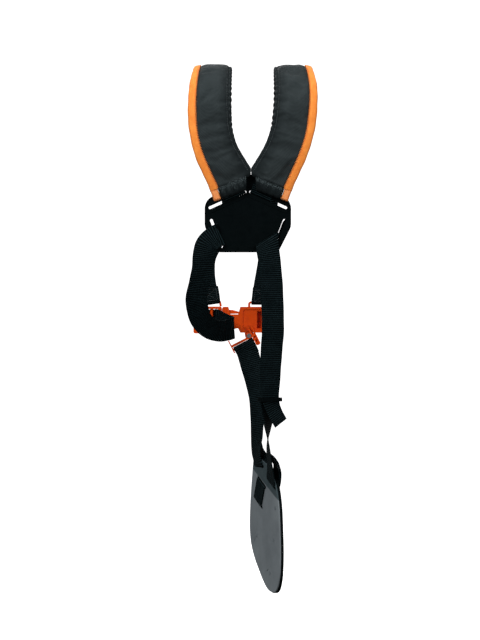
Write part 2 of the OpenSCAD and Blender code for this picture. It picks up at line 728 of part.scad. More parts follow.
module snap_hook() {
    color("#aeb3b6") at_eye() difference() {
        union() {
            translate([0, 0, barrel_top - barrel_h]) cylinder(h = barrel_h, d = 13);
            upright(-5, 5) polygon(rounded([[-15.5, spine_top], [-15.5, -25], [-7, -18], [13, -18],
                [13, spine_top]], 2));
            translate([-bowl_r, 0, bowl_z]) cylinder(h = spine_top - bowl_z + 2, d = hook_d);
            translate([0, 0, bowl_z]) rotate([-90, 0, 0]) rotate_extrude(angle = 180)
                translate([bowl_r, 0]) circle(d = hook_d);
            translate([bowl_r, 0, bowl_z]) cylinder(h = 5, d = hook_d);
            translate([bowl_r, 0, bowl_z + 5]) sphere(d = hook_d);
        }
        translate([0, 0, barrel_top - barrel_h - 1]) cylinder(h = barrel_h + 2, d = shank_d + 2 * gap);
        translate([0, 0, foot_z - 0.6]) cylinder(h = 4, d = foot_d + 2 * gap);
        translate([2.2, -2.3, spine_top - 1]) cube([12, 4.6, 10]);
        translate([gate_pivot[0], 0, gate_pivot[1]]) rotate([90, 0, 0])
            cylinder(h = 12, d = 2.5, center = true);
    }
}

module hook_gate() {
    color("#8f9598") at_eye() difference() {
        union() {
            upright(-2, 2) translate(gate_pivot) circle(r = 3);
            upright(-2, 2)
                polygon([[5.4, -24], [10.6, -24], [8.2, -46], [8.2, gate_end], [4.4, gate_end], [4, -44]]);
        }
        translate([gate_pivot[0], 0, gate_pivot[1]]) rotate([90, 0, 0])
            cylinder(h = 6, d = 2.5 + 0.3, center = true);
    }
}

module gate_pin() {
    color("#7b8184") at_eye() translate([gate_pivot[0], 0, gate_pivot[1]]) rotate([90, 0, 0]) {
        cylinder(h = 10, d = 2.5, center = true);
        for (s = [-1, 1]) translate([0, 0, s * 5.3]) cylinder(h = 0.6, d = 4, center = true);
    }
}

module gate_spring() {
    color("#c3c7ca") at_eye() upright(-1.2, 1.2)
        polygon([[2.5, -24.6], [3, -24.6], [4.3, -29], [4, -40], [3.6, -40], [3.8, -29]]);
}

back_plate();
pad_cover(-1);  // left_pad_cover
pad_foam(-1);  // left_pad_foam
pad_edging(-1);  // left_pad_edging
pad_end_wrap(-1);  // left_pad_end_wrap
pad_anchor(-1);  // left_pad_anchor
pad_cover(1);  // right_pad_cover
pad_foam(1);  // right_pad_foam
pad_edging(1);  // right_pad_edging
pad_end_wrap(1);  // right_pad_end_wrap
pad_anchor(1);  // right_pad_anchor
strap(left_front_route);  // left_front_strap
strap(right_front_route);  // right_front_strap
strap(side_route);  // side_strap
strap(rear_route, free = true);  // rear_hip_strap
strap(rear_loop_route, 3);  // rear_hip_loop
rear_strap_slider();
strap(front_route, 3);  // front_hip_strap
buckle_housing();
buckle_insert();
prong(1);  // upper_prong
prong(-1);  // lower_prong
lower_link();
link_pin();
hip_plate_shell();
hip_plate_liner();
hip_plate_rivets();
hook_sling();
d_ring();
swivel_eye();
snap_hook();
hook_gate();
gate_pin();
gate_spring();
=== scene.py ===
import math

import bmesh
import bpy
import numpy as np
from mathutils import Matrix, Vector


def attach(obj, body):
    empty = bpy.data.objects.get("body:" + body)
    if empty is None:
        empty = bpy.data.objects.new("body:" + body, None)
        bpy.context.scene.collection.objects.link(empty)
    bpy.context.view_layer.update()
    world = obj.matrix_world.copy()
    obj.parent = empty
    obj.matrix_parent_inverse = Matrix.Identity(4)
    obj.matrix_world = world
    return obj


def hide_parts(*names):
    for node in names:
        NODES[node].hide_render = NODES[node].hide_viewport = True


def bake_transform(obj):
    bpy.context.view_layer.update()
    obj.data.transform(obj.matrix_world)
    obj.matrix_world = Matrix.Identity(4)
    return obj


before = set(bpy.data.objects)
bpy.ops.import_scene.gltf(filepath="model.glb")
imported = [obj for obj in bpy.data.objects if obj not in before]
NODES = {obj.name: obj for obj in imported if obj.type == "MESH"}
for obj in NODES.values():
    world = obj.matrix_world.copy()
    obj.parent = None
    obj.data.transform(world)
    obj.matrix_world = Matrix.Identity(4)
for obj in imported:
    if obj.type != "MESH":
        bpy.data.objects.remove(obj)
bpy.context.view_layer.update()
MM = 0.001
RIB_MM = 3.4  # one rib of the webbing, along it
RIB = RIB_MM * MM
RIB_STEP = RIB / 5
RIB_HEIGHT = 0.26 * MM
HALF_W = 20 * MM  # half the webbing's width, and half its thickness
HALF_T = 0.9 * MM

# ---- camera: level, straight on to the wearer's back ----
cam_data = bpy.data.cameras.new("camera")
cam = bpy.data.objects.new("camera", cam_data)
bpy.context.scene.collection.objects.link(cam)
cam.location = (-0.0235, -4.0, -0.449)
cam.rotation_euler = (math.radians(90), 0, 0)
cam_data.lens = 123.6
cam_data.sensor_width = 36
bpy.context.scene.camera = cam


# ---- materials ----
class Nodes:
    """A few words for building a material's nodes."""

    def __init__(self, name, colour, rough, metal=0.0, spec=0.5):
        self.mat = bpy.data.materials.new(name)
        self.mat.use_nodes = True
        self.tree = self.mat.node_tree
        self.bsdf = self.tree.nodes["Principled BSDF"]
        self.set("Base Color", (*colour, 1.0))
        self.set("Roughness", rough)
        self.set("Metallic", metal)
        self.set("Specular IOR Level", spec)
        self.set("Specular Tint", (0.75, 0.95, 1.0, 1.0) if not metal else (1.0, 1.0, 1.0, 1.0))

    def set(self, socket, value):
        self.bsdf.inputs[socket].default_value = value

    def put(self, out, socket):
        self.tree.links.new(out, self.bsdf.inputs[socket])

    def node(self, kind, **given):
        n = self.tree.nodes.new(kind)
        for key, value in given.items():
            if key in n.inputs:
                if isinstance(value, bpy.types.NodeSocket):
                    self.tree.links.new(value, n.inputs[key])
                else:
                    n.inputs[key].default_value = value
            else:
                setattr(n, key, value)
        return n

    def math(self, what, a, b=0.0, c=0.0):
        n = self.tree.nodes.new("ShaderNodeMath")
        n.operation = what
        for i, value in enumerate((a, b, c)):
            if isinstance(value, bpy.types.NodeSocket):
                self.tree.links.new(value, n.inputs[i])
            else:
                n.inputs[i].default_value = value
        return n.outputs[0]

    def cloth_uv(self):
        """The piece's own map, in millimetres: x across it and y along it."""
        uv = self.node("ShaderNodeUVMap", uv_map="cloth").outputs["UV"]
        mm = self.tree.nodes.new("ShaderNodeVectorMath")
        mm.operation = "SCALE"
        self.tree.links.new(uv, mm.inputs[0])
        mm.inputs["Scale"].default_value = 1000.0
        split = self.node("ShaderNodeSeparateXYZ")
        self.tree.links.new(mm.outputs[0], split.inputs[0])
        return mm.outputs[0], split.outputs["X"], split.outputs["Y"]

    def place(self):
        return self.node("ShaderNodeTexCoord").outputs["Object"]

    def noise(self, vector, scale, detail=3.0, rough=0.55):
        n = self.node("ShaderNodeTexNoise", Vector=vector, Scale=scale, Detail=detail, Roughness=rough)
        return n.outputs["Fac"]

    def ramp(self, fac, low, high, a=0.35, b=0.65):
        n = self.node("ShaderNodeMapRange", Value=fac)
        n.inputs["From Min"].default_value = a
        n.inputs["From Max"].default_value = b
        n.inputs["To Min"].default_value = low
        n.inputs["To Max"].default_value = high
        return n.outputs["Result"]

    def mix(self, fac, a, b):
        n = self.tree.nodes.new("ShaderNodeMix")
        n.data_type = "RGBA"
        n.blend_type = "MIX"
        for socket, value in ((n.inputs[0], fac), (n.inputs[6], a), (n.inputs[7], b)):
            if isinstance(value, bpy.types.NodeSocket):
                self.tree.links.new(value, socket)
            elif isinstance(value, tuple):
                socket.default_value = (*value, 1.0)
            else:
                socket.default_value = value
        return n.outputs[2]

    def bump(self, height, strength, distance):
        n = self.node("ShaderNodeBump", Height=height)
        n.inputs["Strength"].default_value = strength
        n.inputs["Distance"].default_value = distance
        self.put(n.outputs["Normal"], "Normal")

    def sheen(self, weight, tint, rough=0.4):
        self.set("Sheen Weight", weight)
        self.set("Sheen Tint", (*tint, 1.0))
        self.set("Sheen Roughness", rough)


def wave(m, value, pitch):
    return m.math("SINE", m.math("MULTIPLY", value, 2 * math.pi / pitch))


def webbing_material():
    m = Nodes("webbing", (0.016, 0.02, 0.024), 0.62, spec=0.03)
    vec, u, v = m.cloth_uv()
    # flat yarns that lie over each rib, and the slack in the weave
    yarn = wave(m, m.math("ADD", u, m.math("MULTIPLY", wave(m, v, RIB_MM), 0.35)), 1.15)
    rib = m.math("COSINE", m.math("MULTIPLY", v, 2 * math.pi / RIB_MM))
    slack = m.noise(vec, 0.05, 4.0)
    fuzz = m.noise(vec, 2.4, 2.0)
    # painted highlight: the colour is lighter along the top of each rib and darker in the hollows between, with
    # the flat yarns' pattern mixed in
    yarn_and_crest_highlight = m.math("ADD", m.math("MULTIPLY", rib, 0.75), m.math("MULTIPLY", yarn, 0.3))
    lit = m.ramp(yarn_and_crest_highlight, 0.0, 1.0, 0.3, 1.05)
    lit = m.math("MULTIPLY", lit, m.ramp(slack, 0.55, 1.15, 0.3, 0.7))
    m.put(m.mix(lit, (0.0006, 0.0015, 0.0018), (0.022, 0.042, 0.049)), "Base Color")
    m.put(m.ramp(fuzz, 0.46, 0.66), "Roughness")
    height = m.math("ADD", m.math("MULTIPLY", yarn, 0.5), m.math("MULTIPLY", fuzz, 0.5))
    m.bump(height, 0.5, 0.0002)
    m.sheen(0.004, (0.5, 0.7, 0.75))
    return m.mat


def mesh_material():
    m = Nodes("mesh_fabric", (0.03, 0.034, 0.036), 0.7, spec=0.2)
    vec, u, v = m.cloth_uv()
    bow = m.math("ADD", v, m.math("MULTIPLY", m.math("MULTIPLY", u, u), 0.012))
    row = wave(m, bow, 2.3)
    hole = wave(m, m.math("ADD", u, m.math("MULTIPLY", bow, 0.5)), 1.9)
    knit = m.math("ADD", m.math("MULTIPLY", row, 0.6), m.math("MULTIPLY", hole, 0.4))
    soft = m.noise(vec, 0.035, 4.0)
    fine = m.noise(vec, 1.1, 3.0)
    lit = m.ramp(knit, 0.0, 1.0, -0.7, 0.9)
    lit = m.math("MULTIPLY", lit, m.ramp(soft, 0.6, 1.2, 0.3, 0.7))
    lit = m.math("ADD", lit, m.ramp(fine, -0.15, 0.15))
    # the underside's map is set 200 mm aside; both faces get painted shade towards the inner edge, where the
    # cover curves away
    under = m.math("GREATER_THAN", u, 100.0)
    face_u = m.math("SUBTRACT", u, m.math("MULTIPLY", under, 200.0))
    lit = m.math("MULTIPLY", lit, m.ramp(face_u, 1.0, 0.08, 16.0, 33.0))
    m.put(m.mix(lit, (0.0045, 0.0062, 0.0068), (0.036, 0.045, 0.047)), "Base Color")
    m.put(m.ramp(fine, 0.62, 0.8), "Roughness")
    m.bump(m.math("ADD", knit, m.math("MULTIPLY", fine, 0.6)), 0.55, 0.00025)
    m.sheen(0.02, (0.7, 0.75, 0.78), 0.5)
    return m.mat


def woven_orange(name, dark, light):
    m = Nodes(name, light, 0.72, spec=0.2)
    vec, u, v = m.cloth_uv()
    twill = wave(m, m.math("ADD", u, v), 1.5)
    cross = wave(m, m.math("SUBTRACT", u, v), 1.5)
    weave = m.math("MULTIPLY", twill, cross)
    drift = m.noise(vec, 0.06, 4.0)
    fine = m.noise(vec, 1.6, 3.0)
    lit = m.math("ADD", m.ramp(weave, 0.25, 0.85, -0.8, 0.8), m.ramp(drift, -0.25, 0.25))
    m.put(m.mix(lit, dark, light), "Base Color")
    m.put(m.ramp(fine, 0.6, 0.82), "Roughness")
    m.bump(m.math("ADD", weave, m.math("MULTIPLY", fine, 0.6)), 0.5, 0.00022)
    m.sheen(0.15, (1.0, 0.75, 0.5), 0.45)
    return m.mat


def nylon_material(name, dark, light, pitch=0.8, shine=0.42):
    m = Nodes(name, light, shine, spec=0.22)
    vec, u, v = m.cloth_uv()
    weave = m.math("MULTIPLY", wave(m, u, pitch), wave(m, v, pitch))
    drift = m.noise(vec, 0.07, 4.0)
    lit = m.math("ADD", m.ramp(weave, 0.2, 0.6, -0.9, 0.9), m.ramp(drift, -0.2, 0.3))
    m.put(m.mix(lit, dark, light), "Base Color")
    m.put(m.ramp(drift, shine - 0.08, shine + 0.12), "Roughness")
    m.bump(m.math("ADD", weave, m.math("MULTIPLY", drift, 2.0)), 0.35, 0.0002)
    m.sheen(0.03, (0.8, 0.85, 0.9))
    return m.mat


def thread_material(name, dark, light):
    m = Nodes(name, light, 0.5, spec=0.4)
    _, u, v = m.cloth_uv()
    twist = wave(m, m.math("ADD", u, v), 0.7)
    m.put(m.mix(m.ramp(twist, 0.0, 1.0, -0.8, 0.8), dark, light), "Base Color")
    m.bump(twist, 0.5, 0.0001)
    m.sheen(0.2, (1.0, 1.0, 1.0))
    return m.mat


def moulded(name, dark, light, rough, grain=1500.0, depth=0.35, spec=0.5, coat=0.0):
    """A moulded plastic: fine spark grain, faint flow marks and dulled patches."""
    m = Nodes(name, light, rough, spec=spec)
    co = m.place()
    spark = m.noise(co, grain, 2.0)
    flow = m.noise(co, 18.0, 5.0, 0.6)
    rubbed = m.noise(co, 90.0, 6.0, 0.65)
    m.put(m.mix(m.ramp(flow, 0.1, 0.9, 0.3, 0.7), dark, light), "Base Color")
    r = m.math("ADD", m.ramp(rubbed, rough - 0.08, rough + 0.1), m.ramp(spark, -0.03, 0.03))
    m.put(r, "Roughness")
    m.bump(m.math("ADD", spark, m.math("MULTIPLY", rubbed, 0.6)), depth, 0.00012)
    if coat:
        m.set("Coat Weight", coat)
        m.set("Coat Roughness", 0.25)
    return m.mat


def metal(name, colour, rough, brushed=False):
    m = Nodes(name, colour, rough, metal=1.0)
    co = m.place()
    if brushed:
        stretch = m.tree.nodes.new("ShaderNodeMapping")
        m.tree.links.new(co, stretch.inputs["Vector"])
        stretch.inputs["Scale"].default_value = (40.0, 900.0, 900.0)
        grain = m.noise(stretch.outputs["Vector"], 1.0, 3.0)
    else:
        grain = m.noise(co, 700.0, 3.0)
    smear = m.noise(co, 45.0, 5.0)
    dull = tuple(c * 0.72 for c in colour)
    m.put(m.mix(m.ramp(smear, 0.0, 1.0), dull, colour), "Base Color")
    m.put(m.math("ADD", m.ramp(smear, rough - 0.06, rough + 0.1), m.ramp(grain, -0.04, 0.04)), "Roughness")
    m.bump(grain, 0.25, 0.00008)
    return m.mat


def liner_material():
    """Smooth grey foam sheet, with the darker band that runs along its top."""
    m = Nodes("liner_foam", (0.13, 0.145, 0.15), 0.75, spec=0.2)
    co = m.place()
    split = m.node("ShaderNodeSeparateXYZ")
    m.tree.links.new(co, split.inputs[0])
    cell = m.noise(co, 900.0, 3.0)
    cloud = m.noise(co, 14.0, 5.0, 0.6)
    level = m.math("ADD", split.outputs["Z"], m.math("MULTIPLY", split.outputs["X"], 1.1))
    level = m.math("ADD", level, m.math("MULTIPLY", m.noise(co, 60.0, 2.0), 0.003))
    edge = m.ramp(level, 0.0, 1.0, -0.723, -0.7205)
    body = m.mix(m.ramp(cloud, 0.0, 1.0), (0.15, 0.17, 0.184), (0.2, 0.225, 0.24))
    band = m.mix(m.ramp(cloud, 0.0, 1.0), (0.035, 0.052, 0.058), (0.05, 0.07, 0.077))
    m.put(m.mix(edge, body, band), "Base Color")
    m.put(m.ramp(cell, 0.68, 0.84), "Roughness")
    m.bump(m.math("ADD", cell, m.math("MULTIPLY", cloud, 3.0)), 0.3, 0.00015)
    m.sheen(0.06, (0.8, 0.85, 0.9))
    return m.mat


MAT = {
    "webbing": webbing_material(),
    "mesh_fabric": mesh_material(),
    "edging_fabric": woven_orange("edging_fabric", (0.85, 0.19, 0.02), (1.0, 0.35, 0.06)),
    "tab_fabric": woven_orange("tab_fabric", (0.9, 0.24, 0.06), (1.0, 0.42, 0.15)),
    "wrap_fabric": nylon_material(
        "wrap_fabric", (0.002, 0.0032, 0.0036), (0.0075, 0.0105, 0.0115), shine=0.28),
    "binding_fabric": nylon_material(
        "binding_fabric", (0.003, 0.004, 0.0045), (0.01, 0.012, 0.0135), 1.4, 0.6),
    "dark_thread": thread_material("dark_thread", (0.012, 0.015, 0.017), (0.05, 0.058, 0.062)),
    "orange_thread": thread_material("orange_thread", (0.8, 0.16, 0.015), (1.0, 0.36, 0.07)),
    "plate_plastic": moulded(
        "plate_plastic", (0.0003, 0.0011, 0.0013), (0.0008, 0.0021, 0.0026), 0.46, 1700.0, 0.5, spec=0.05),
    "buckle_plastic": moulded(
        "buckle_plastic", (0.58, 0.045, 0.0005), (0.86, 0.09, 0.001), 0.36, 1300.0, 0.22, spec=0.2, coat=0.05),
    "shell_plastic": moulded(
        "shell_plastic", (0.0008, 0.0016, 0.0019), (0.0028, 0.0044, 0.005), 0.55, 1200.0, 0.5, spec=0.04),
    "rivet_plastic": moulded("rivet_plastic", (0.13, 0.15, 0.162), (0.18, 0.205, 0.22), 0.6, spec=0.1),
    "pad_foam": moulded("pad_foam", (0.06, 0.066, 0.068), (0.12, 0.13, 0.135), 0.85, 900.0, 0.6),
    "liner_foam": liner_material(),
    "steel": metal("steel", (0.62, 0.63, 0.64), 0.2),
    "hook_steel": metal("hook_steel", (0.5, 0.51, 0.52), 0.36),
    "spring_steel": metal("spring_steel", (0.6, 0.61, 0.62), 0.28, brushed=True),
}


# ---- curves ----
def catmull(a, b, c, d, t):
    return 0.5 * (2 * b + (c - a) * t + (2 * a - 5 * b + 4 * c - d) * t * t + (3 * b - a - 3 * c + d) * t**3)


def unit(v):
    return v / np.maximum(np.linalg.norm(v, axis=-1, keepdims=True), 1e-12)


class Band:
    """A centre line with its across and outward directions, at even steps along its length."""

    DENSE = 24  # points drawn between two of the route's own

    def __init__(self, route, step, free=False):
        r = np.array(route, float)
        p, a = r[:, :3] * MM, r[:, 3:]
        line, across = [], []
        for i in range(len(r) - 1):
            i0, i3 = max(i - 1, 0), min(i + 2, len(r) - 1)
            for j in range(self.DENSE):
                t = j / self.DENSE
                line.append(catmull(p[i0], p[i], p[i + 1], p[i3], t))
                across.append(catmull(a[i0], a[i], a[i + 1], a[i3], t))
        line.append(p[-1])
        across.append(a[-1])
        line, across = np.array(line), np.array(across)
        across = across if free else unit(across)
        s = np.concatenate([[0], np.cumsum(np.linalg.norm(np.diff(line, axis=0), axis=1))])
        n = max(2, int(round(s[-1] / step)) + 1)
        self.s = np.linspace(0, s[-1], n)
        self.p = np.stack([np.interp(self.s, s, line[:, k]) for k in range(3)], 1)
        across = np.stack([np.interp(self.s, s, across[:, k]) for k in range(3)], 1)
        self.along = unit(np.gradient(self.p, axis=0))
        self.out = unit(np.cross(self.along, across))
        self.across = across if free else np.cross(self.out, self.along)
        self.length = s[-1]

    def at(self, s, a, h):
        """Points at distances s along, a across and h out, with the directions there."""
        s = np.asarray(s, float)
        p, al, ac, ou = (
            np.stack([np.interp(s, self.s, v[:, k]) for k in range(3)], -1)
            for v in (self.p, self.along, self.across, self.out))
        a, h = np.asarray(a, float)[..., None], np.asarray(h, float)[..., None]
        return p + ac * a + ou * h, al, ac, ou


# ---- meshes ----
def piece(name, verts, faces, mat, uvs=None, smooth=True):
    mesh = bpy.data.meshes.new(name)
    mesh.from_pydata([tuple(map(float, v)) for v in verts], [], [tuple(map(int, f)) for f in faces])
    mesh.update()
    if uvs is not None:
        layer = mesh.uv_layers.new(name="cloth")
        loops = np.empty(len(mesh.loops), int)
        mesh.loops.foreach_get("vertex_index", loops)
        layer.data.foreach_set("uv", np.asarray(uvs, np.float32)[loops].ravel())
    if smooth:
        mesh.polygons.foreach_set("use_smooth", [True] * len(mesh.polygons))
    mesh.materials.append(mat)
    obj = bpy.data.objects.new(name, mesh)
    bpy.context.scene.collection.objects.link(obj)
    return obj


def tube_faces(rings, n):
    """Faces of a tube of rings, each of n points, closed at both ends."""
    i, j = np.meshgrid(np.arange(rings - 1), np.arange(n), indexing="ij")
    a, b = i * n + j, i * n + (j + 1) % n
    faces = np.stack([a, b, b + n, a + n], -1).reshape(-1, 4).tolist()
    faces.append(list(range(n))[::-1])
    faces.append([(rings - 1) * n + k for k in range(n)])
    return faces


def webbing(name, route, fray=True):
    """Ribbed webbing along a route: ribs lie across it and both selvedges are turned."""
    band = route if isinstance(route, Band) else Band(route, RIB_STEP)
    across = np.array([-1, -0.99, -0.955, -0.90, -0.6, -0.2, 0.2, 0.6, 0.90, 0.955, 0.99, 1.0])
    thick = np.array([0.0, 0.75, 1.1, 0.95, 1, 1, 1, 1, 0.95, 1.1, 0.75, 0.0])
    ribbed = np.array([0, 0, 0.25, 0.8, 1, 1, 1, 1, 0.8, 0.25, 0, 0])
    wobble = 0.25 * MM * np.sin(band.s * 61.0) + 0.15 * MM * np.sin(band.s * 143.0 + 1.0)
    rib = RIB_HEIGHT * np.cos(2 * math.pi * band.s / RIB)
    top = [(a, t, r) for a, t, r in zip(across, thick, ribbed)]
    low = top[-2:0:-1]
    profile = [(a, t, r, 1) for a, t, r in top] + [(a, t, r, -1) for a, t, r in low]
    n = len(profile)
    verts = np.empty((len(band.s), n, 3))
    uvs = np.empty((len(band.s), n, 2))
    for k, (a, t, r, sign) in enumerate(profile):
        h = sign * HALF_T * t + rib * r
        side = HALF_W * a + wobble * abs(a)
        verts[:, k] = band.p + band.across * side[:, None] + band.out * h[:, None]
        uvs[:, k, 0] = side + (0.1 if sign < 0 else 0)
        uvs[:, k, 1] = band.s
    if fray:
        ends = np.array([np.sin(k * 2.1) * 0.3 * MM for k in range(n)])
        verts[-1] += band.along[-1] * ends[:, None]
    faces = tube_faces(len(band.s), n)
    obj = piece(name, verts.reshape(-1, 3), faces, MAT["webbing"], uvs.reshape(-1, 2))
    return obj, band


def capsule_run(name, starts, ends, outs, radius, mat):
    """Stitches in one mesh: each a short thread from start to end that sinks at both ends."""
    verts, uvs, faces = [], [], []
    n = 6
    t = np.array([0.0, 0.12, 0.5, 0.88, 1.0])
    size = np.array([0.25, 0.8, 1.0, 0.8, 0.25])
    for a, b, o in zip(starts, ends, outs):
        along = unit(b - a)
        side = unit(np.cross(along, o))
        base = len(verts)
        length = np.linalg.norm(b - a)
        for ti, r in zip(t, size):
            lift = radius * (0.75 * (1 - (2 * ti - 1) ** 2) - 0.2)
            centre = a + (b - a) * ti + o * lift
            for k in range(n):
                w = 2 * math.pi * k / n
                verts.append(centre + (side * math.cos(w) + o * math.sin(w)) * radius * r)
                uvs.append((k / n * radius * 6, ti * length))
        faces += [[base + i for i in f] for f in tube_faces(len(t), n)]
    return piece(name, verts, faces, MAT[mat], uvs)


STITCH_PITCH = 3.4 * MM
STITCH_FILL = 0.8  # how much of the pitch the thread shows over
BOX_HALF = 15 * MM


def stitch_line(band, points, height):
    """Start, end and outward direction of each stitch along a run of (s, a) corners."""
    starts, ends, outs = [], [], []
    for (s0, a0), (s1, a1) in zip(points, points[1:]):
        run = math.hypot(s1 - s0, a1 - a0)
        count = max(1, int(round(run / STITCH_PITCH)))
        for i in range(count):
            t0, t1 = (i + 0.5 - STITCH_FILL / 2) / count, (i + 0.5 + STITCH_FILL / 2) / count
            p0, _, _, o0 = band.at(s0 + (s1 - s0) * t0, a0 + (a1 - a0) * t0, height)
            p1, _, _, o1 = band.at(s0 + (s1 - s0) * t1, a0 + (a1 - a0) * t1, height)
            starts.append(p0)
            ends.append(p1)
            outs.append(unit(o0 + o1) * (1 if height > 0 else -1))
    return starts, ends, outs


def box_stitch(name, band, s0, s1, side, body):
    """A sewn box with a cross in it, on one face of a band."""
    h = side * (HALF_T + 0.28 * MM)
    a, b = -BOX_HALF, BOX_HALF
    runs = [[(s0, a), (s1, a), (s1, b), (s0, b), (s0, a)], [(s0, a), (s1, b)], [(s0, b), (s1, a)]]
    st, en, ou = [], [], []
    for run in runs:
        x, y, z = stitch_line(band, run, h)
        st, en, ou = st + x, en + y, ou + z
    obj = capsule_run(name, st, en, ou, 0.42 * MM, "dark_thread")
    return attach(obj, body) if body else obj


def softened(node, mat, body, width):
    """A copy of a CAD solid with its edges rounded as moulding leaves them. It stands for the node."""
    src = NODES[node]
    mesh = src.data.copy()
    obj = bpy.data.objects.new(node + "_moulded", mesh)
    bpy.context.scene.collection.objects.link(obj)
    obj.matrix_world = src.matrix_world.copy()
    bm = bmesh.new()
    bm.from_mesh(mesh)
    bmesh.ops.remove_doubles(bm, verts=bm.verts, dist=1e-5)
    bmesh.ops.dissolve_limit(bm, angle_limit=math.radians(2.0), verts=bm.verts, edges=bm.edges)
    bm.to_mesh(mesh)
    bm.free()
    bevel = obj.modifiers.new("bevel", "BEVEL")
    bevel.width = width
    bevel.segments = 2
    bevel.limit_method = "ANGLE"
    bevel.angle_limit = math.radians(32)
    bevel.harden_normals = False
    bevel.use_clamp_overlap = True
    apply_all(obj)
    finish_mesh(obj, mat)
    even = obj.modifiers.new("even", "WEIGHTED_NORMAL")
    even.keep_sharp = True
    apply_all(obj)
    for k in list(obj.keys()):
        if k.startswith("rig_"):
            del obj[k]
    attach(obj, body)
    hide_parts(node)


def apply_all(obj):
    """Keeps what the modifiers make and drops them."""
    dg = bpy.context.evaluated_depsgraph_get()
    dg.update()
    new = bpy.data.meshes.new_from_object(obj.evaluated_get(dg))
    obj.modifiers.clear()
    obj.data = new


def finish_mesh(obj, mat):
    mesh = obj.data
    mesh.materials.clear()
    mesh.materials.append(MAT[mat])
    mesh.polygons.foreach_set("use_smooth", [True] * len(mesh.polygons))
    mesh.set_sharp_from_angle(angle=math.radians(50))


def dress(node, mat):
    """Gives a carried-over CAD solid its finish."""
    mesh = NODES[node].data
    mesh.materials.clear()
    mesh.materials.append(MAT[mat])


# ---- frames that the routes are written in, in millimetres ----
HIP_TURN = math.radians(69)
HIP_AT = np.array([23.5, 0.0, -819.0])
HIP_X = np.array([math.cos(HIP_TURN), -math.sin(HIP_TURN), 0.0])
HIP_Y = np.array([math.sin(HIP_TURN), math.cos(HIP_TURN), 0.0])
UP = np.array([0.0, 0.0, 1.0])


def in_hip(route):
    """A route written in the hip plate's own frame, put in the scene's."""
    r = np.array(route, float)
    p = HIP_AT + r[:, :1] * HIP_X + r[:, 1:2] * HIP_Y + r[:, 2:3] * UP
    a = r[:, 3:4] * HIP_X + r[:, 4:5] * HIP_Y + r[:, 5:6] * UP
    return np.hstack([p, a]).tolist()


LINK_TURN = math.radians(27)


def from_link(u, d, y):
    """A point u along the link's bar, d below it and y out from it, with the bar's direction."""
    c, s = math.cos(LINK_TURN), math.sin(LINK_TURN)
    return [-17.6 + u * c + d * s, 71.5 + y, -487.2 + u * s - d * c, c, 0.0, s]


# ---- the ways the bands run: a point and the direction across the band, in millimetres ----
LEFT_FRONT = [
    [-66, 99, -138, 0.96, 0, 0.28],
    [-60, 99, -164, 0.95, 0.2, 0.24],
    [-50, 101, -194, 0.75, 0.6, 0.2],
    [-45, 102, -228, 0.6, 0.8, 0],
    [-49, 101, -264, 0.6, 0.8, -0.1],
    [-68, 99, -298, 0.72, 0.6, -0.3],
    [-84, 97, -328, 0.8, 0.5, -0.25],
    [-89, 94, -353, 0.9, 0.4, 0],
    [-87, 91, -385, 0.97, 0.2, 0.12],
    [-81, 89, -408, 1, 0.02, 0.14],
    [-80, 88.2, -415.5, 1, 0, 0.14],
    [-79.8, 84.9, -419.7, 1, 0, 0.14],
    [-80, 81.4, -416, 1, 0, 0.14],
    [-81, 81.4, -408, 1, 0, 0.14],
    [-84, 84.4, -388, 0.98, 0.18, 0.12],
]
RIGHT_FRONT = [
    [58, 99, -138, 0.96, 0, -0.28],
    [52, 99, -165, 0.95, -0.2, -0.24],
    [36, 101, -206, 0.75, -0.6, -0.2],
    [29, 101, -262, 0.75, -0.6, 0],
    [31, 98, -320, 0.9, -0.35, 0],
    [25, 94, -365, 0.97, -0.15, 0.05],
    [20, 90, -398, 1, 0, 0],
    [18.4, 88.7, -410, 1, 0, 0],
    [18, 88.6, -415.8, 1, 0, 0],
    [18, 87.6, -418.7, 1, 0, 0],
    [18, 85, -419.8, 1, 0, 0],
    [18, 82.4, -418.7, 1, 0, 0],
    [18, 81.4, -415.8, 1, 0, 0],
    [18.4, 81.3, -408, 1, 0, 0],
    [20, 85.4, -390, 1, 0, 0],
]
SIDE = [
    [-74, -79.7, -302.4, 0.36, 0, -0.93],
    [-69, -80.2, -300.4, 0.36, 0, -0.93],
    [-64.9, -82.6, -298.4, 0.36, 0, -0.93],
    [-63.6, -86.4, -298, 0.36, 0, -0.93],
    [-60.5, -89.8, -297, 0.38, 0, -0.92],
    [-58.8, -91.6, -297, 0.38, 0, -0.92],
    [-60.6, -93.4, -298, 0.38, 0, -0.92],
    [-67.6, -94.2, -301, 0.42, 0, -0.91],
    [-76, -94.6, -307, 0.55, 0, -0.83],
    [-83.6, -95, -317, 0.75, 0.1, -0.65],
    [-88, -93, -335, 0.9, 0.3, -0.3],
    [-90.5, -87, -356, 0.93, 0.36, -0.02],
    [-95.5, -79, -380, 0.93, 0.34, -0.05],
    [-101.3, -66, -406, 0.96, 0.26, 0],
    [-99.9, -52, -428, 0.95, 0.16, 0.2],
    [-94.5, -36, -446, 0.88, 0.05, 0.45],
    [-85.4, -17, -459, 0.78, 0, 0.62],
    [-72.3, 1, -467, 0.6, 0, 0.8],
    [-57.3, 18, -469.5, 0.38, 0, 0.92],
    [-44.5, 31, -466.5, 0.12, 0, 0.99],
    [-37.2, 37, -464, 0, 0, 1],
    [-34.8, 41, -463, 0, 0, 1],
    [-37, 46, -462.5, 0, 0, 1],
    [-45, 55, -459.5, -0.06, 0, 1],
    [-56, 68, -454, -0.12, 0, 1],
    [-66.5, 79.5, -449, -0.02, 0, 1],
    [-70.4, 89.5, -449, 0, 0, 1],
    [-76, 92.4, -449, 0, 0, 1],
    [-81.6, 89.5, -449, 0, 0, 1],
    [-86.6, 79, -449.2, 0, 0, 1],
    [-95, 70, -454, 0, 0, 1],
]
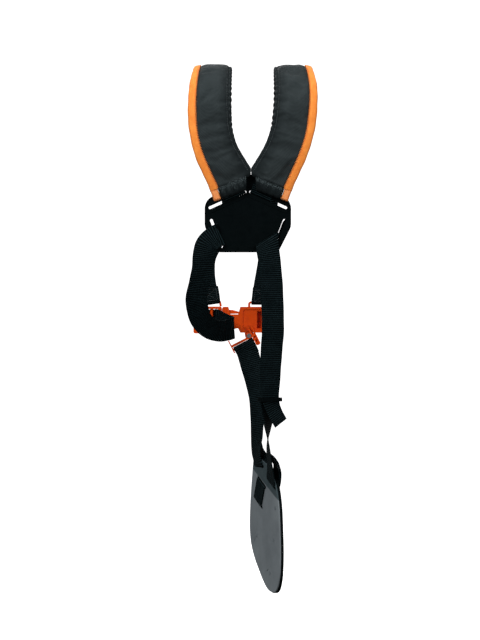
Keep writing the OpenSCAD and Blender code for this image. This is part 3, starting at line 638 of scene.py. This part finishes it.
REAR = [
    [58, -79.6, -284, 0.36, 0, 0.93],
    [52.5, -79.8, -285.5, 0.36, 0, 0.93],
    [47.6, -80.2, -290.5, 0.34, 0, 0.88],
    [44.4, -81.4, -301.5, 0.26, 0, 0.66],
    [43.1, -83.6, -305.5, 0.22, 0, 0.56],
    [42, -87.2, -305.4, 0.22, 0, 0.56],
    [38.6, -89.6, -305.2, 0.27, 0, 0.58],
    [33, -90.2, -306, 0.55, 0, 0.62],
    [26, -90.6, -307.6, 0.94, 0, 0.61],
    [23, -92.6, -305.9, 0.94, 0, 0.61],
    [24.4, -95, -308.4, 0.94, 0, 0.6],
    [25.4, -95.6, -317, 0.97, 0, 0.42],
    [27, -95.6, -330, 1, 0, 0.2],
    [29.5, -94.5, -350, 1, 0, 0.05],
    [32.5, -90, -385, 1, 0.05, 0],
    [34.5, -85, -420, 1, 0.1, 0],
    [35.1, -79, -465, 1, 0.1, 0],
    [32.9, -72, -503, 0.98, 0.15, 0],
    [30.9, -64, -545, 0.94, 0.3, -0.05],
    [29.6, -58, -583, 0.84, 0.54, 0],
    [35.3, -56.5, -605, 0.62, 0.72, 0.28],
    [42.2, -58, -620, 0.54, 0.76, 0.34],
    [50, -60, -634, 0.52, 0.78, 0.36],
]
REAR_LOOP = in_hip([
    [50.4, -13.5, 236, 0.3, -0.9, 0],
    [49.5, -13.5, 222, 0.3, -0.9, 0],
    [48, -14, 200, 0.5, -0.8, 0],
    [47, -14.5, 175, 0.8, -0.6, 0],
    [46.5, -14, 148, 0.95, -0.3, -0.05],
    [43, -10.5, 119, 0.95, -0.15, -0.25],
    [38.5, -6, 95, 0.92, -0.05, -0.38],
    [35, -4.4, 82, 0.92, 0, -0.39],
    [32.5, -3.2, 75.6, 0.92, 0, -0.39],
    [31.6, 1, 73.4, 0.92, 0, -0.39],
    [32.4, 5.9, 75.4, 0.92, 0, -0.39],
    [35, 7, 82, 0.92, 0, -0.39],
    [39, 6.8, 92, 0.92, 0, -0.38],
    [44, 4.6, 104, 0.93, 0, -0.35],
    [46.4, -1.6, 115, 0.94, 0.1, -0.3],
    [47.6, -7.4, 127, 0.95, -0.1, -0.2],
])
PAD = [
    [-29, -94, -227, 0.93, 0, 0.36],
    [-38, -97, -203, 0.91, 0, 0.41],
    [-48.5, -99, -180, 0.92, 0, 0.39],
    [-60.5, -100, -153, 0.94, 0, 0.34],
    [-69, -100, -129, 0.97, 0, 0.24],
    [-74.5, -98, -104, 0.99, 0, 0.13],
    [-77.5, -92, -68, 1, 0, 0.04],
    [-78.5, -78, -36, 1, 0, 0],
    [-78, -46, -6, 1, 0, 0],
    [-77.5, 0, 7, 1, 0, 0],
    [-78, 46, -6, 1, 0, 0],
    [-78.5, 78, -36, 1, 0, 0],
    [-77.5, 92, -68, 1, 0, 0],
    [-73.5, 98, -104, 0.99, 0, -0.1],
    [-60.5, 99, -146, 0.96, 0, -0.28],
]
BAR_SHIFT = -2.6  # how far along its bar the strap hangs
ROUND_BAR = (
    (30, 1.4), (20, 3.2), (11.2, 4), (7.2, 3.8), (4.4, 2.8), (3.4, 0), (4.4, -2.8), (7.2, -3.8),
    (11.2, -4), (22, -3.4))
FRONT = (
    [from_link(BAR_SHIFT, down, out) for down, out in ROUND_BAR]
    + [
        [-3, 66, -530, 0.9, 0.1, 0.4],
        [5, 62, -562, 0.88, -0.3, 0.3],
        [8.8, 56, -595, 0.75, -0.62, 0.15],
        [8.4, 50, -630, 0.6, -0.8, 0],
        [7.6, 44, -664, 0.5, -0.86, 0],
    ]
    + in_hip(
        [
            [-34.5, -5, 125, 1, -0.05, 0],
            [-29.5, -4.4, 110, 1, 0, 0],
            [-28.6, -3.2, 104.2, 1, 0, 0],
            [-28.5, 1, 102.2, 1, 0, 0],
            [-28.6, 5.9, 104, 1, 0, 0],
            [-29, 7, 111, 1, 0, 0],
            [-31, 7, 122, 1, 0, 0],
            [-34, 1, 134, 1, 0, 0],
            [-38, -1.4, 146, 1, -0.05, 0],
        ]
    )
)
PLATE_X, PLATE_TOP, BAR_DROP, BAR_OUT, SLOPE = -9.5, -201.5, 17.1, 22.5, 0.45
PLATE_Y, PLATE_OUT = -83.0, -87.0
PAD_W, PAD_T, SWAY = 75.0, 14.0, 4.0


def anchor(side):
    """The short strap from a pad's end, folded round its bar in the back plate."""
    turn = math.atan(SLOPE)
    right = np.array([math.cos(turn) * -side, 0, math.sin(turn)])
    up = np.array([math.sin(turn) * side, 0, math.cos(turn)])
    mid = np.array([PLATE_X + side * BAR_OUT, 0, PLATE_TOP - BAR_DROP - BAR_OUT * SLOPE])
    steps = [
        (14, PLATE_OUT - 6), (5, PLATE_OUT - 3.4), (0.4, PLATE_OUT - 1.6), (-1.4, PLATE_OUT + 1),
        (-1.4, PLATE_Y - 1), (0.6, PLATE_Y + 2.1), (8, PLATE_Y + 2.6), (24, PLATE_Y + 2.4), (31, PLATE_Y + 1),
        (34, PLATE_Y - 2), (36, PLATE_OUT - 3), (42, PLATE_OUT - 8)]
    return [[*(mid + up * u + np.array([0, y, 0])), *right] for u, y in steps]


SLING_WAY, SLING_ACROSS = np.array([-0.409, 0, -0.913]), np.array([0.913, 0, -0.409])
SLING_TOP = np.array([-14.5, 0, 73.75])
SLING = in_hip([
    [*(SLING_TOP + SLING_WAY * s + np.array([0, out, 0])), *SLING_ACROSS]
    for s, out in (
        (14, 8.4), (38, 8.6), (54, 12.4), (64, 16.2), (69, 16.9), (72.6, 15.6), (74, 13), (72.6, 10.4), (69, 9.1),
        (60, 7.4), (50, 6.9), (46, 6.9), (43, 6), (41.7, 3.5), (41.4, 1), (41, -2.6), (39.2, -4), (32, -4),
        (20, -4), (8, -4), (3, -4), (0.4, -2.8), (0, 1), (0.3, 4.6), (1.6, 6.4), (5, 6.7), (10, 6.4), (22, 6.2))])


def cut(band, low, high):
    """The part of a band between two of its steps."""
    part = object.__new__(Band)
    for key in ("p", "along", "across", "out", "s"):
        setattr(part, key, getattr(band, key)[low:high])
    part.length = part.s[-1] - part.s[0]
    return part


# ---- webbing ----
for side, word in ((-1, "left"), (1, "right")):
    strap, _ = webbing(word + "_anchor_webbing", anchor(side))
    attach(strap, "harness")
    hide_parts(word + "_pad_anchor")

left_front, left_front_band = webbing("left_front_webbing", LEFT_FRONT)
left_front_sewn = box_stitch("left_front_stitching", left_front_band, left_front_band.length - 26 * MM,
                             left_front_band.length - 5 * MM, -1, None)
for o in (left_front, left_front_sewn):
    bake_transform(o)
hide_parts("left_front_strap")

right_front, right_front_band = webbing("right_front_webbing", RIGHT_FRONT)
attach(right_front, "harness")
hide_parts("right_front_strap")
box_stitch("right_front_stitching", right_front_band, right_front_band.length - 26 * MM,
           right_front_band.length - 5 * MM, -1, "harness")

side_web, _ = webbing("side_webbing", SIDE)
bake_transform(side_web)
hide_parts("side_strap")

rear_web, _ = webbing("rear_webbing", Band(REAR, RIB_STEP, free=True))
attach(rear_web, "harness")
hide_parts("rear_hip_strap")

rear_loop, rear_loop_band = webbing("rear_loop_webbing", REAR_LOOP)
rear_loop_sewn = box_stitch("rear_loop_stitching", rear_loop_band, rear_loop_band.length - 24 * MM,
                            rear_loop_band.length - 5 * MM, -1, None)
for o in (rear_loop, rear_loop_sewn):
    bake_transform(o)
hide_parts("rear_hip_loop")

# the front strap is one band in two pieces, which meet where both still ride the harness
FRONT_SPLIT_Z = -0.612
front_band = Band(FRONT, RIB_STEP)
off_split = abs(front_band.p[:, 2] - FRONT_SPLIT_Z)
middle = int(np.argmin(np.where(front_band.s < front_band.length * 0.6, off_split, 9)))
upper_web, _ = webbing("front_upper_webbing", cut(front_band, 0, middle + 1), fray=False)
lower_web, _ = webbing("front_lower_webbing", cut(front_band, middle, len(front_band.s)), fray=False)
front_upper_sewn = box_stitch("front_upper_stitching", front_band, 4 * MM, 22 * MM, 1, None)
front_lower_sewn = box_stitch("front_lower_stitching", front_band, front_band.length - 24 * MM,
                              front_band.length - 5 * MM, 1, None)
for o in (upper_web, front_upper_sewn):
    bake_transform(o)
for o in (lower_web, front_lower_sewn):
    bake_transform(o)
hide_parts("front_hip_strap")
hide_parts("front_hip_strap")

sling_web, _ = webbing("sling_webbing", SLING)
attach(sling_web, "hip")
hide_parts("hook_sling")


# ---- shoulder pads ----
def pad_band(side):
    """The pad's middle line. The right pad is the left one mirrored, but for the sway of the pair."""
    rows = []
    for x, y, z, ax, ay, az in PAD:
        sway = -SWAY * min(1, max(0, (-z - 40) / 110))
        rows.append([side * -x + sway, y, z, side * -ax, ay, az])
    return Band(rows, 3.0 * MM)


def flare(s):
    """How much wider the inner edge stands near the pad's end, where the two pads meet, in millimetres."""
    t = np.clip(s / MM, 0, 90) / 90
    return 7.5 * (1 - t) ** 2 * (1 + 2 * t) * np.clip((s / MM - 8) / 12, 0, 1)


def drawn(band, s, a):
    """Where a line across the pad lies: the outer edge is drawn in as it goes over the shoulder."""
    z = np.interp(s, band.s, band.p[:, 2])
    t = min(1.0, max(0.0, (z + 0.075) / 0.08))
    return a + 8.0 * t * t * max(0.0, (8.0 - a) / 45.5)


def half_thick(a):
    """Half the pad's thickness, a across from its middle line, in millimetres."""
    return (PAD_T / 2 - 2.4) * np.sqrt(np.clip(1 - (np.abs(a) / (PAD_W / 2)) ** 4, 0, 1)) + 2.4


def keep_off_middle(verts, side, keep):
    """Flattens what would pass the middle between the two pads."""
    low = verts[:, 2] < -0.165
    wall = (-SWAY + side * keep) * MM
    x = verts[:, 0]
    verts[:, 0] = np.where(low, np.maximum(x, wall) if side > 0 else np.minimum(x, wall), x)
    return verts


def settle(obj, pinned, pressure, limit, frames=22):
    """Fills the cover: a cloth simulation with air inside, held at its seams; then keeps the result."""
    rest = np.array([v.co for v in obj.data.vertices], float)
    group = obj.vertex_groups.new(name="seams")
    group.add([int(i) for i in np.nonzero(pinned)[0]], 1.0, "REPLACE")
    mod = obj.modifiers.new("fill", "CLOTH")
    c = mod.settings
    c.quality = 6
    c.mass = 0.25
    c.tension_stiffness = 18
    c.compression_stiffness = 12
    c.shear_stiffness = 6
    c.bending_stiffness = 0.6
    c.tension_damping = 12
    c.use_pressure = True
    c.uniform_pressure_force = pressure
    c.shrink_min = -0.035
    c.vertex_group_mass = "seams"
    c.effector_weights.gravity = 0.0
    mod.collision_settings.use_collision = False
    mod.collision_settings.use_self_collision = False
    scene = bpy.context.scene
    for f in range(1, frames + 1):
        scene.frame_set(f)
    dg = bpy.context.evaluated_depsgraph_get()
    done = obj.evaluated_get(dg).to_mesh()
    co = np.array([v.co for v in done.vertices], float)
    obj.evaluated_get(dg).to_mesh_clear()
    obj.modifiers.clear()
    scene.frame_set(1)
    move = co - rest
    size = np.linalg.norm(move, axis=1, keepdims=True)
    move *= np.minimum(1, limit / np.maximum(size, 1e-9))
    move[~np.isfinite(move).all(1)] = 0
    obj.data.vertices.foreach_set("co", (rest + move).astype(np.float32).ravel())
    obj.data.update()


def refine(obj):
    """Rounds a cloth piece with one more level of faces."""
    mod = obj.modifiers.new("round", "SUBSURF")
    mod.levels = mod.render_levels = 1
    mod.subdivision_type = "CATMULL_CLARK"
    apply_all(obj)
    obj.data.polygons.foreach_set("use_smooth", [True] * len(obj.data.polygons))


def pad_body(side, word):
    """The mesh-covered pad itself, filled out between its seams."""
    band = pad_band(side)
    start, end = 20 * MM, band.length
    s = np.linspace(start, end, int((end - start) / (3.2 * MM)))
    outer = -24.3
    a_top = np.concatenate([np.linspace(outer, 31, 18), [33.5, 35.2, 36.2]])
    n_top = len(a_top)
    verts, uvs, pinned = [], [], []
    for i, si in enumerate(s):
        near = min(1.0, (si - start) / (7 * MM)), min(1.0, (end - si) / (9 * MM))
        close = math.sqrt(max(0.0, 1 - (1 - near[0]) ** 2)) * math.sqrt(max(0.0, 1 - (1 - near[1]) ** 2))
        h = half_thick(a_top) * (0.35 + 0.65 * close)
        h *= np.where(a_top > 33, 0.82, 1.0) * (1 - 0.35 * np.exp(-((a_top - outer) / 2.2) ** 2))
        for sign in (1, -1):
            order = range(n_top) if sign > 0 else range(n_top - 1, -1, -1)
            for k in order:
                wide = drawn(band, si, a_top[k]) + flare(si) * max(0.0, (a_top[k] - 10) / 26)
                p, _, _, _ = band.at(si, wide * MM, sign * side * h[k] * MM)
                verts.append(p)
                uvs.append((wide * MM + (0.2 if sign < 0 else 0), si))
                pinned.append(k == 0 or k >= n_top - 2 or i < 2 or i > len(s) - 3)
    verts = keep_off_middle(np.array(verts), side, 0.3)
    faces = tube_faces(len(s), 2 * n_top)
    obj = piece(word + "_pad", verts, faces, MAT["mesh_fabric"], np.array(uvs))
    settle(obj, np.array(pinned), 1.6, 2.4 * MM)
    co = np.array([v.co for v in obj.data.vertices], float)
    obj.data.vertices.foreach_set("co", keep_off_middle(co, side, 0.3).astype(np.float32).ravel())
    refine(obj)
    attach(obj, "harness")
    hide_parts(word + "_pad_cover", word + "_pad_foam")
    return band


def pad_edging(side, word, band):
    """Bright cloth folded over the outer edge, gathered a little by each stitch."""
    start, end = 21 * MM, band.length - 1.5 * MM
    s = np.linspace(start, end, int((end - start) / (1.3 * MM)))
    around = np.linspace(0, math.pi, 11)
    verts, uvs = [], []
    for i, si in enumerate(s):
        pucker = 0.34 * math.cos(2 * math.pi * si / (4.4 * MM))
        slack = 0.3 * math.sin(si * 95.0) + 0.22 * math.sin(si * 233.0 + 1.7)
        rim = min(1.0, (si - start) / (3 * MM) + 0.55, (end - si) / (6 * MM) + 0.3)
        ring = []
        for a in np.linspace(-24.0, -34.0, 6):
            fold = math.exp(-(((a + 24.0) / 2.6) ** 2))
            drawn_in = pucker * math.exp(-(((a + 26.5) / 3.4) ** 2))
            ring.append((a, (half_thick(a) + 1.1 - 0.6 * fold + drawn_in) * rim))
        h_end = ring[-1][1]
        for w in around[1:-1]:
            ring.append((-34.0 - (4.1 + slack) * math.sin(w), h_end * math.cos(w)))
        ring += [(a, -h) for a, h in ring[5::-1]]
        length = 0
        for k, (a, h) in enumerate(ring):
            p, _, _, _ = band.at(si, drawn(band, si, a) * MM, side * h * MM)
            verts.append(p)
            if k:
                length += math.hypot(a - ring[k - 1][0], h - ring[k - 1][1]) * MM
            uvs.append((length, si))
        n = len(ring)
    faces = tube_faces(len(s), n)
    obj = piece(word + "_pad_edging_cloth", verts, faces, MAT["edging_fabric"], uvs)
    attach(obj, "harness")
    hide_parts(word + "_pad_edging")
    # the whip stitches over the seam, on both faces
    for face, tag in ((1, "outer"), (-1, "inner")):
        st, en, ou = [], [], []
        low, high = -26.0, -22.3
        for k in range(int((end - start - 6 * MM) / (2.6 * MM))):
            sk = start + 3 * MM + k * 2.6 * MM
            h = side * face
            p0, _, _, o = band.at(sk, drawn(band, sk, low) * MM, h * (half_thick(low) + 0.8) * MM)
            p1, _, _, _ = band.at(
                sk + 1.2 * MM, drawn(band, sk, high) * MM, h * (half_thick(high) + 0.8) * MM)
            st.append(p0)
            en.append(p1)
            ou.append(o * h)
        name = word + "_pad_whipping_" + tag
        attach(capsule_run(name, st, en, ou, 0.62 * MM, "orange_thread"), "harness")


def pad_tab(side, word, band):
    """A folded tab of lighter cloth that closes the end of the edging."""
    s = np.linspace(1.5 * MM, 23.5 * MM, 15)
    verts, uvs = [], []
    for si in s:
        t = (si - s[0]) / (s[-1] - s[0])
        rim = min(1.0, 0.55 + 3.0 * t, 0.8 + 2.0 * (1 - t))
        ring = [(a, 5.6) for a in (-24.6, -27, -30, -33, -35.4)]
        ring += [(-37.6, 4.2), (-38.4, 0.0), (-37.6, -4.2)]
        ring += [(a, -5.6) for a in (-35.4, -33, -30, -27, -24.6)]
        length = 0
        for k, (a, h) in enumerate(ring):
            dip = 0.3 * math.cos(a * 1.7 + si * 700)
            p, _, _, _ = band.at(si, a * MM, side * (h + math.copysign(dip, h)) * rim * MM)
            verts.append(p)
            if k:
                length += math.hypot(a - ring[k - 1][0], h - ring[k - 1][1]) * MM
            uvs.append((length, si))
        n = len(ring)
    obj = piece(word + "_pad_tab", verts, tube_faces(len(s), n), MAT["tab_fabric"], uvs)
    refine(obj)
    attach(obj, "harness")
    st, en, ou = [], [], []
    for a0, s0, a1, s1 in ((-26, 3.5, -26, 22), (-36, 3.5, -36, 22), (-26, 22, -36, 22)):
        steps = max(2, int(math.hypot(a1 - a0, s1 - s0) / 3.0))
        for k in range(steps):
            (p0, _, _, o), (p1, _, _, _) = (
                band.at((s0 + (s1 - s0) * t) * MM, (a0 + (a1 - a0) * t) * MM, side * 5.95 * MM)
                for t in ((k + 0.1) / steps, (k + 0.9) / steps))
            st.append(p0)
            en.append(p1)
            ou.append(o * side)
    name = word + "_pad_tab_stitching"
    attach(capsule_run(name, st, en, ou, 0.38 * MM, "orange_thread"), "harness")


def pad_roll(side, word, band):
    """The pad's end, rolled over and bound in smooth nylon."""
    cross = np.linspace(0, 2 * math.pi, 36, endpoint=False)
    a_list = np.concatenate([[-24.4, -24.0, -23.2], np.linspace(-21.5, 35.5, 40), [36.6, 37.2, 37.4]])
    size = np.concatenate([[0.55, 0.8, 0.93], np.ones(40), [0.93, 0.8, 0.55]])
    verts, uvs = [], []
    for a, r in zip(a_list, size):
        for w in cross:
            ease = 1 + 0.025 * math.sin(a * 0.55 + 2.0 * math.cos(w)) + 0.018 * math.sin(a * 1.3 + w * 2)
            ds = 12.4 * math.copysign(abs(math.cos(w)) ** 0.8, math.cos(w)) * (0.75 + 0.25 * r) * ease
            h = 8.6 * math.copysign(abs(math.sin(w)) ** 0.8, math.sin(w)) * r * ease
            p, _, _, _ = band.at((13.6 + ds) * MM, a * MM, side * h * MM)
            verts.append(p)
            uvs.append((w * 9 * MM, a * MM))
    verts = keep_off_middle(np.array(verts), side, 8.6)
    faces = tube_faces(len(a_list), len(cross))
    obj = piece(word + "_pad_roll", verts, faces, MAT["wrap_fabric"], uvs)
    refine(obj)
    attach(obj, "harness")
    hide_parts(word + "_pad_end_wrap")
    st, en, ou = [], [], []
    row, h = 24.6, side * 5.6
    for k in range(17):
        a0 = -22 + k * 3.3
        p0, _, _, o = band.at(row * MM, a0 * MM, h * MM)
        p1, _, _, _ = band.at(row * MM, (a0 + 2.6) * MM, h * MM)
        if (p1[0] * 1000 + SWAY) * side > 10:
            st.append(p0)
            en.append(p1)
            ou.append(o * side)
    name = word + "_pad_roll_stitching"
    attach(capsule_run(name, st, en, ou, 0.4 * MM, "dark_thread"), "harness")


def pad_binding(side, word, band):
    """Dark tape round the inner edge, drawn into scallops where the pad bends over the shoulder."""
    start, end = 27 * MM, band.length - 2 * MM
    s = np.linspace(start, end, int((end - start) / (1.6 * MM)))
    verts, uvs = [], []
    n = 12
    for si in s:
        z = np.interp(si, band.s, band.p[:, 2])
        bent = min(1.0, max(0.0, (z + 0.15) / 0.05))
        scallop = abs(math.sin(math.pi * si / (12.5 * MM) + 0.4 * math.sin(si * 70)))
        r = 2.7 + bent * (1.9 * scallop - 0.5) + 0.15 * math.sin(si * 400)
        ends = min(1.0, (si - start) / (3 * MM) + 0.3, (end - si) / (3 * MM) + 0.3)
        for k in range(n):
            w = 2 * math.pi * k / n
            a = 36.1 + flare(si) + r * 0.95 * math.cos(w) * ends
            h = r * 1.25 * math.sin(w) * ends
            p, _, _, _ = band.at(si, a * MM, side * h * MM)
            verts.append(p)
            uvs.append((k / n * 19 * MM, si))
    verts = keep_off_middle(np.array(verts), side, 0.05)
    faces = tube_faces(len(s), n)
    obj = piece(word + "_pad_binding", verts, faces, MAT["binding_fabric"], uvs)
    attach(obj, "harness")
    st, en, ou = [], [], []
    line = 31.8
    for face in (1, -1):
        for k in range(int((end - start - 8 * MM) / (3.4 * MM))):
            sk = start + 4 * MM + k * 3.4 * MM
            h = side * face * (half_thick(line) + 0.5) * MM
            p0, _, _, o = band.at(sk, (line + flare(sk)) * MM, h)
            p1, _, _, _ = band.at(sk + 2.7 * MM, (line + flare(sk)) * MM, h)
            if (p0[0] * 1000 + SWAY) * side > 2:
                st.append(p0)
                en.append(p1)
                ou.append(o * side * face)
    name = word + "_pad_binding_stitching"
    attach(capsule_run(name, st, en, ou, 0.4 * MM, "dark_thread"), "harness")


for side, word in ((-1, "left"), (1, "right")):
    band = pad_body(side, word)
    pad_edging(side, word, band)
    pad_tab(side, word, band)
    pad_roll(side, word, band)
    pad_binding(side, word, band)

# ---- moulded and metal parts ----
softened("back_plate", "plate_plastic", "harness", 0.7 * MM)
softened("rear_strap_slider", "plate_plastic", "harness", 0.5 * MM)
softened("buckle_housing", "buckle_plastic", "harness", 0.6 * MM)
softened("buckle_insert", "buckle_plastic", "insert", 0.5 * MM)
softened("upper_prong", "buckle_plastic", "upper_prong", 0.4 * MM)
softened("lower_prong", "buckle_plastic", "lower_prong", 0.4 * MM)
softened("lower_link", "buckle_plastic", "link", 0.4 * MM)
softened("hip_plate_shell", "shell_plastic", "hip", 0.8 * MM)
softened("hip_plate_liner", "liner_foam", "hip", 0.6 * MM)
for node, mat in (
    ("link_pin", "steel"), ("hip_plate_rivets", "rivet_plastic"), ("d_ring", "steel"),
    ("swivel_eye", "steel"), ("snap_hook", "hook_steel"), ("hook_gate", "hook_steel"),
    ("gate_pin", "steel"), ("gate_spring", "spring_steel")):
    dress(node, mat)


# ---- floor, backdrop and light ----
FLOOR_Z = -1.02
STUDIO_R = 8.0


def paper():
    """Matt white studio paper, evenly lit."""
    m = Nodes("paper", (0.93, 0.93, 0.93), 0.85, spec=0.2)
    tooth = m.noise(m.place(), 260.0, 3.0)
    m.put(m.mix(m.ramp(tooth, 0.0, 1.0), (0.915, 0.915, 0.915), (0.94, 0.94, 0.94)), "Base Color")
    m.bump(tooth, 0.05, 0.0002)
    m.set("Emission Color", (1.0, 1.0, 1.0, 1.0))
    m.set("Emission Strength", 1.0)
    return m.mat


def studio():
    """A round pale floor with a plain pale wall right round it. Neither throws light on the object."""
    n = 48
    turn = [2 * math.pi * k / n for k in range(n)]
    low, high = (
        [(STUDIO_R * math.cos(w), STUDIO_R * math.sin(w), z) for w in turn] for z in (FLOOR_Z, STUDIO_R))
    around = [[k, (k + 1) % n, n + (k + 1) % n, n + k] for k in range(n)]
    cover = paper()
    for name, verts, faces in (
        ("floor", low, [list(range(n))]),
        ("backdrop", low + high, around + [[n + k for k in range(n)]]),
    ):
        obj = piece(name, verts, faces, cover, smooth=False)
        obj.visible_diffuse = obj.visible_glossy = obj.visible_shadow = False


studio()

world = bpy.data.worlds.new("studio")
bpy.context.scene.world = world
world.use_nodes = True
world.node_tree.nodes["Background"].inputs["Color"].default_value = (1.0, 1.0, 1.0, 1.0)
world.node_tree.nodes["Background"].inputs["Strength"].default_value = 0.18


def softbox(name, place, aim, size, power):
    data = bpy.data.lights.new(name, "AREA")
    data.shape = "RECTANGLE"
    data.size, data.size_y = size
    data.energy = power
    obj = bpy.data.objects.new(name, data)
    bpy.context.scene.collection.objects.link(obj)
    obj.location = place
    obj.rotation_euler = (Vector(aim) - Vector(place)).to_track_quat("-Z", "Y").to_euler()


softbox("key", (-1.5, -2.4, 1.5), (0, 0, -0.35), (1.3, 1.0), 76)
softbox("fill", (1.9, -2.4, 0.4), (0, 0, -0.5), (1.4, 1.4), 32)
softbox("top", (0.0, -0.2, 1.9), (0, 0, -0.3), (1.6, 1.2), 26)
softbox("rear", (-0.6, 2.6, 1.4), (0, 0, -0.4), (1.6, 1.2), 22)
bpy.context.scene.view_settings.view_transform = "Standard"
bpy.context.scene.view_settings.exposure = 0.0
